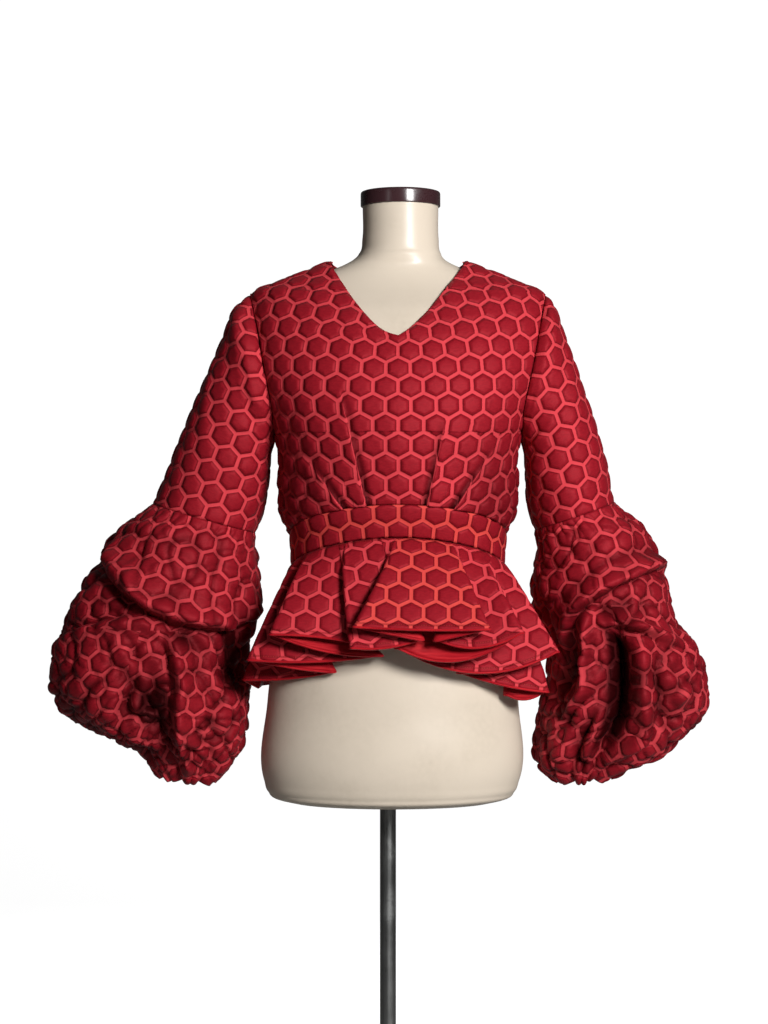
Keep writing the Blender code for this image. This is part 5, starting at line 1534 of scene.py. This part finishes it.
outer = peplum(np.linspace(1, 0, 40) ** 1.15)     # rows from the hem to the waist
patches = fold_patches(outer)
flat_at = np.zeros((outer.size // 3, 2))
for part, flat in patches:
    flat_at[part.ravel()] = flat.reshape(-1, 2)
hem_gap = arc(outer, 0)
waist_gap = hem_gap[-1:] - hem_gap
puffing = comb_height(flat_at.reshape(*outer.shape[:2], 2),
                      np.minimum(hem_gap, waist_gap), PEPLUM_RISE)
puffing -= 0.0002 * np.exp(-((hem_gap - STITCH_ROW) / 0.002) ** 2)
made = set_in(outer, -puffing)
middle_fold = (np.degrees(HEM_ANGLE) > -1) & (np.degrees(HEM_ANGLE) < 27)
warm = np.broadcast_to(middle_fold, outer.shape[:2]).astype(float)
peplum_sheet = cloth("peplum_sheet", "peplum", made.reshape(-1, 3), patches, HEMMED,
                     wall=PEPLUM_CLOTH,
                     values={"edge": np.minimum(hem_gap, waist_gap + 0.003).ravel(),
                             "warm": warm.ravel()})

FACING_CLOTH, FACING_GAP = 0.0011, 0.0003
lining_rows = set_in(peplum(np.linspace(0.992, 0.40, 24)), PEPLUM_CLOTH + FACING_GAP)
lining = cloth("peplum_satin", "peplum_lining", lining_rows.reshape(-1, 3),
               fold_patches(lining_rows), SATIN, wall=FACING_CLOTH, values={"edge": 1.0})

# %% [markdown]
# ## The rolled edge
# A narrow roll of satin binds the hem, and catches the light along every fold. A curve
# with a bevel would twist at the fold edges, so the roll's rings are set upright by a
# level direction across the path.

# %% Rolled edge of the hem
ROLL_SIDES, ROLL_RADIUS, ROLL_STEP = 8, 0.0017, 0.0013  # the step is from side to side


def hem_roll(path):
    """A narrow tube along the hem: a circle about the path, across its level direction."""
    ahead = unit(np.gradient(path, axis=0))
    level = unit(np.cross(ahead, (0, 0, 1)))
    up = np.cross(level, ahead)
    turn = np.linspace(0, 2 * pi, ROLL_SIDES, endpoint=False)[:, None, None]
    rings = path + ROLL_RADIUS * (np.cos(turn) * level + np.sin(turn) * up)
    return np.moveaxis(rings, 0, 1)


middle = set_in(peplum([1.0]) + (BODY_X, 0, 0), PEPLUM_CLOTH / 2)[0]
mesh, quads = skin("hem_binding", hem_roll(middle), SATIN)
along = arc(middle[None], 1)[0]
uv = np.stack((along[quads // ROLL_SIDES], (quads % ROLL_SIDES) * ROLL_STEP), axis=-1)
uv = np.vstack((uv.reshape(-1, 2), np.zeros((2 * ROLL_SIDES, 2))))
mesh.uv_layers.new(name="weave").uv.foreach_set("vector", uv.ravel())
binding = carried(placed("hem_binding", mesh), SATIN)
print("hem_binding:", round(float(along[-1]), 3), "m long")

# %% [markdown]
# ## The floor
# A pale sweep of floor runs up behind the form. It is seen from its front only, so
# that it doesn't hide the blouse from a camera behind it, and it glows for the camera
# alone, so that it lights nothing.

# %% Pale sweep
def pale_sweep():
    """A floor that curves up into a wall: a quarter circle between two straights."""
    near, start, radius, wall_top, half_width = -6.0, 3.2, 1.4, 6.0, 7.0
    bend = np.linspace(0, pi / 2, 24)
    y = np.concatenate(([near], start + radius * np.sin(bend), [start + radius]))
    z = np.concatenate(([0.0], radius - radius * np.cos(bend), [wall_top]))
    x = np.array((-half_width, half_width))
    grid = np.stack(np.broadcast_arrays(x, y[:, None], z[:, None]), axis=-1)
    mesh = bpy.data.meshes.new("pale_sweep")
    mesh.from_pydata(grid.reshape(-1, 3).tolist(), [], panel_quads(numbered(len(y), 2)).tolist())
    mesh.shade_smooth()
    made = bpy.data.materials.new("pale_floor")
    made.use_nodes = True
    shader = made.node_tree.nodes["Principled BSDF"]
    shader.inputs["Base Color"].default_value = (0.30, 0.30, 0.298, 1)
    shader.inputs["Roughness"].default_value = 0.9
    shader.inputs["Emission Color"].default_value = (1, 1, 1, 1)
    seen = add(made.node_tree, "ShaderNodeLightPath").outputs["Is Camera Ray"]
    glow = maths(made.node_tree, "MULTIPLY_ADD", seen, 0.93, 0.01)
    made.node_tree.links.new(glow, shader.inputs["Emission Strength"])
    behind = add(made.node_tree, "ShaderNodeNewGeometry").outputs["Backfacing"]
    clear = add(made.node_tree, "ShaderNodeBsdfTransparent").outputs[0]
    one_sided = add(made.node_tree, "ShaderNodeMixShader")
    for source, socket in ((behind, 0), (shader.outputs[0], 1), (clear, 2)):
        made.node_tree.links.new(source, one_sided.inputs[socket])
    finish = made.node_tree.nodes["Material Output"]
    made.node_tree.links.new(one_sided.outputs[0], finish.inputs["Surface"])
    mesh.materials.append(made)
    placed("pale_sweep", mesh)
    print("sweep of", len(mesh.polygons), "quads")


pale_sweep()

# %% [markdown]
# ## The lights
# A broad soft light from the viewer's right gives the combs and folds their shade. Two
# tall ones draw the neck's highlights, one washes the wall, and one behind lights the
# back. Seen from any side, what lies past the floor is as pale as the floor.

# %% Lights and surround
def soft_light(name, place, aim, width, height, power, glossy=True):
    """A rectangle of light aimed at a point. The camera doesn't see the rectangle, and
    with glossy off it leaves no highlight either."""
    data = bpy.data.lights.new(name, "AREA")
    data.shape, data.size, data.size_y, data.energy = "RECTANGLE", width, height, power
    item = placed(name, data)
    item.location = place
    item.rotation_euler = (Vector(aim) - Vector(place)).to_track_quat("-Z", "Y").to_euler()
    item.visible_camera, item.visible_glossy = False, glossy


soft_light("left_strip", (-1.72, -2.46, 1.85), (0, 0, 1.35), 0.18, 1.2, 2.5)
soft_light("right_strip", (1.78, -2.40, 1.85), (0, 0, 1.35), 0.18, 1.2, 6)
soft_light("front_softbox", (1.40, -2.7, 2.05), (0, 0, 1.15), 0.8, 0.7, 129)
soft_light("back_wash", (0, 1.6, 4.4), (0, 4.4, 1.6), 4.0, 1.0, 16)
soft_light("rear_softbox", (0.3, 3.1, 1.5), (0, 0, 1.15), 0.9, 0.9, 34, glossy=False)
world = bpy.data.worlds.new("studio")
world.use_nodes = True
world.node_tree.nodes["Background"].inputs[0].default_value = (1, 1, 1, 1)
seen = add(world.node_tree, "ShaderNodeLightPath").outputs["Is Camera Ray"]
surround = maths(world.node_tree, "MULTIPLY_ADD", seen, 0.92, 0.012)
world.node_tree.links.new(surround, world.node_tree.nodes["Background"].inputs[1])
bpy.context.scene.world = world
print("lights:", [light.name for light in bpy.data.lights])

# %% [markdown]
# ## The camera
# It stands level at chest height, 3 m in front. At that distance a long lens shows the
# blouse at the photograph's own perspective.

# %% Camera
camera = bpy.data.cameras.new("camera")
camera.lens, camera.sensor_height, camera.sensor_fit = 77.5, 36.0, "VERTICAL"
viewer = placed("camera", camera)
viewer.location = (-0.0054, -3.0, 1.1396)
viewer.rotation_euler = (pi / 2, 0, 0)
bpy.context.scene.camera = viewer
bpy.context.scene.view_settings.view_transform = "Standard"
print("camera at", tuple(round(v, 3) for v in viewer.location))
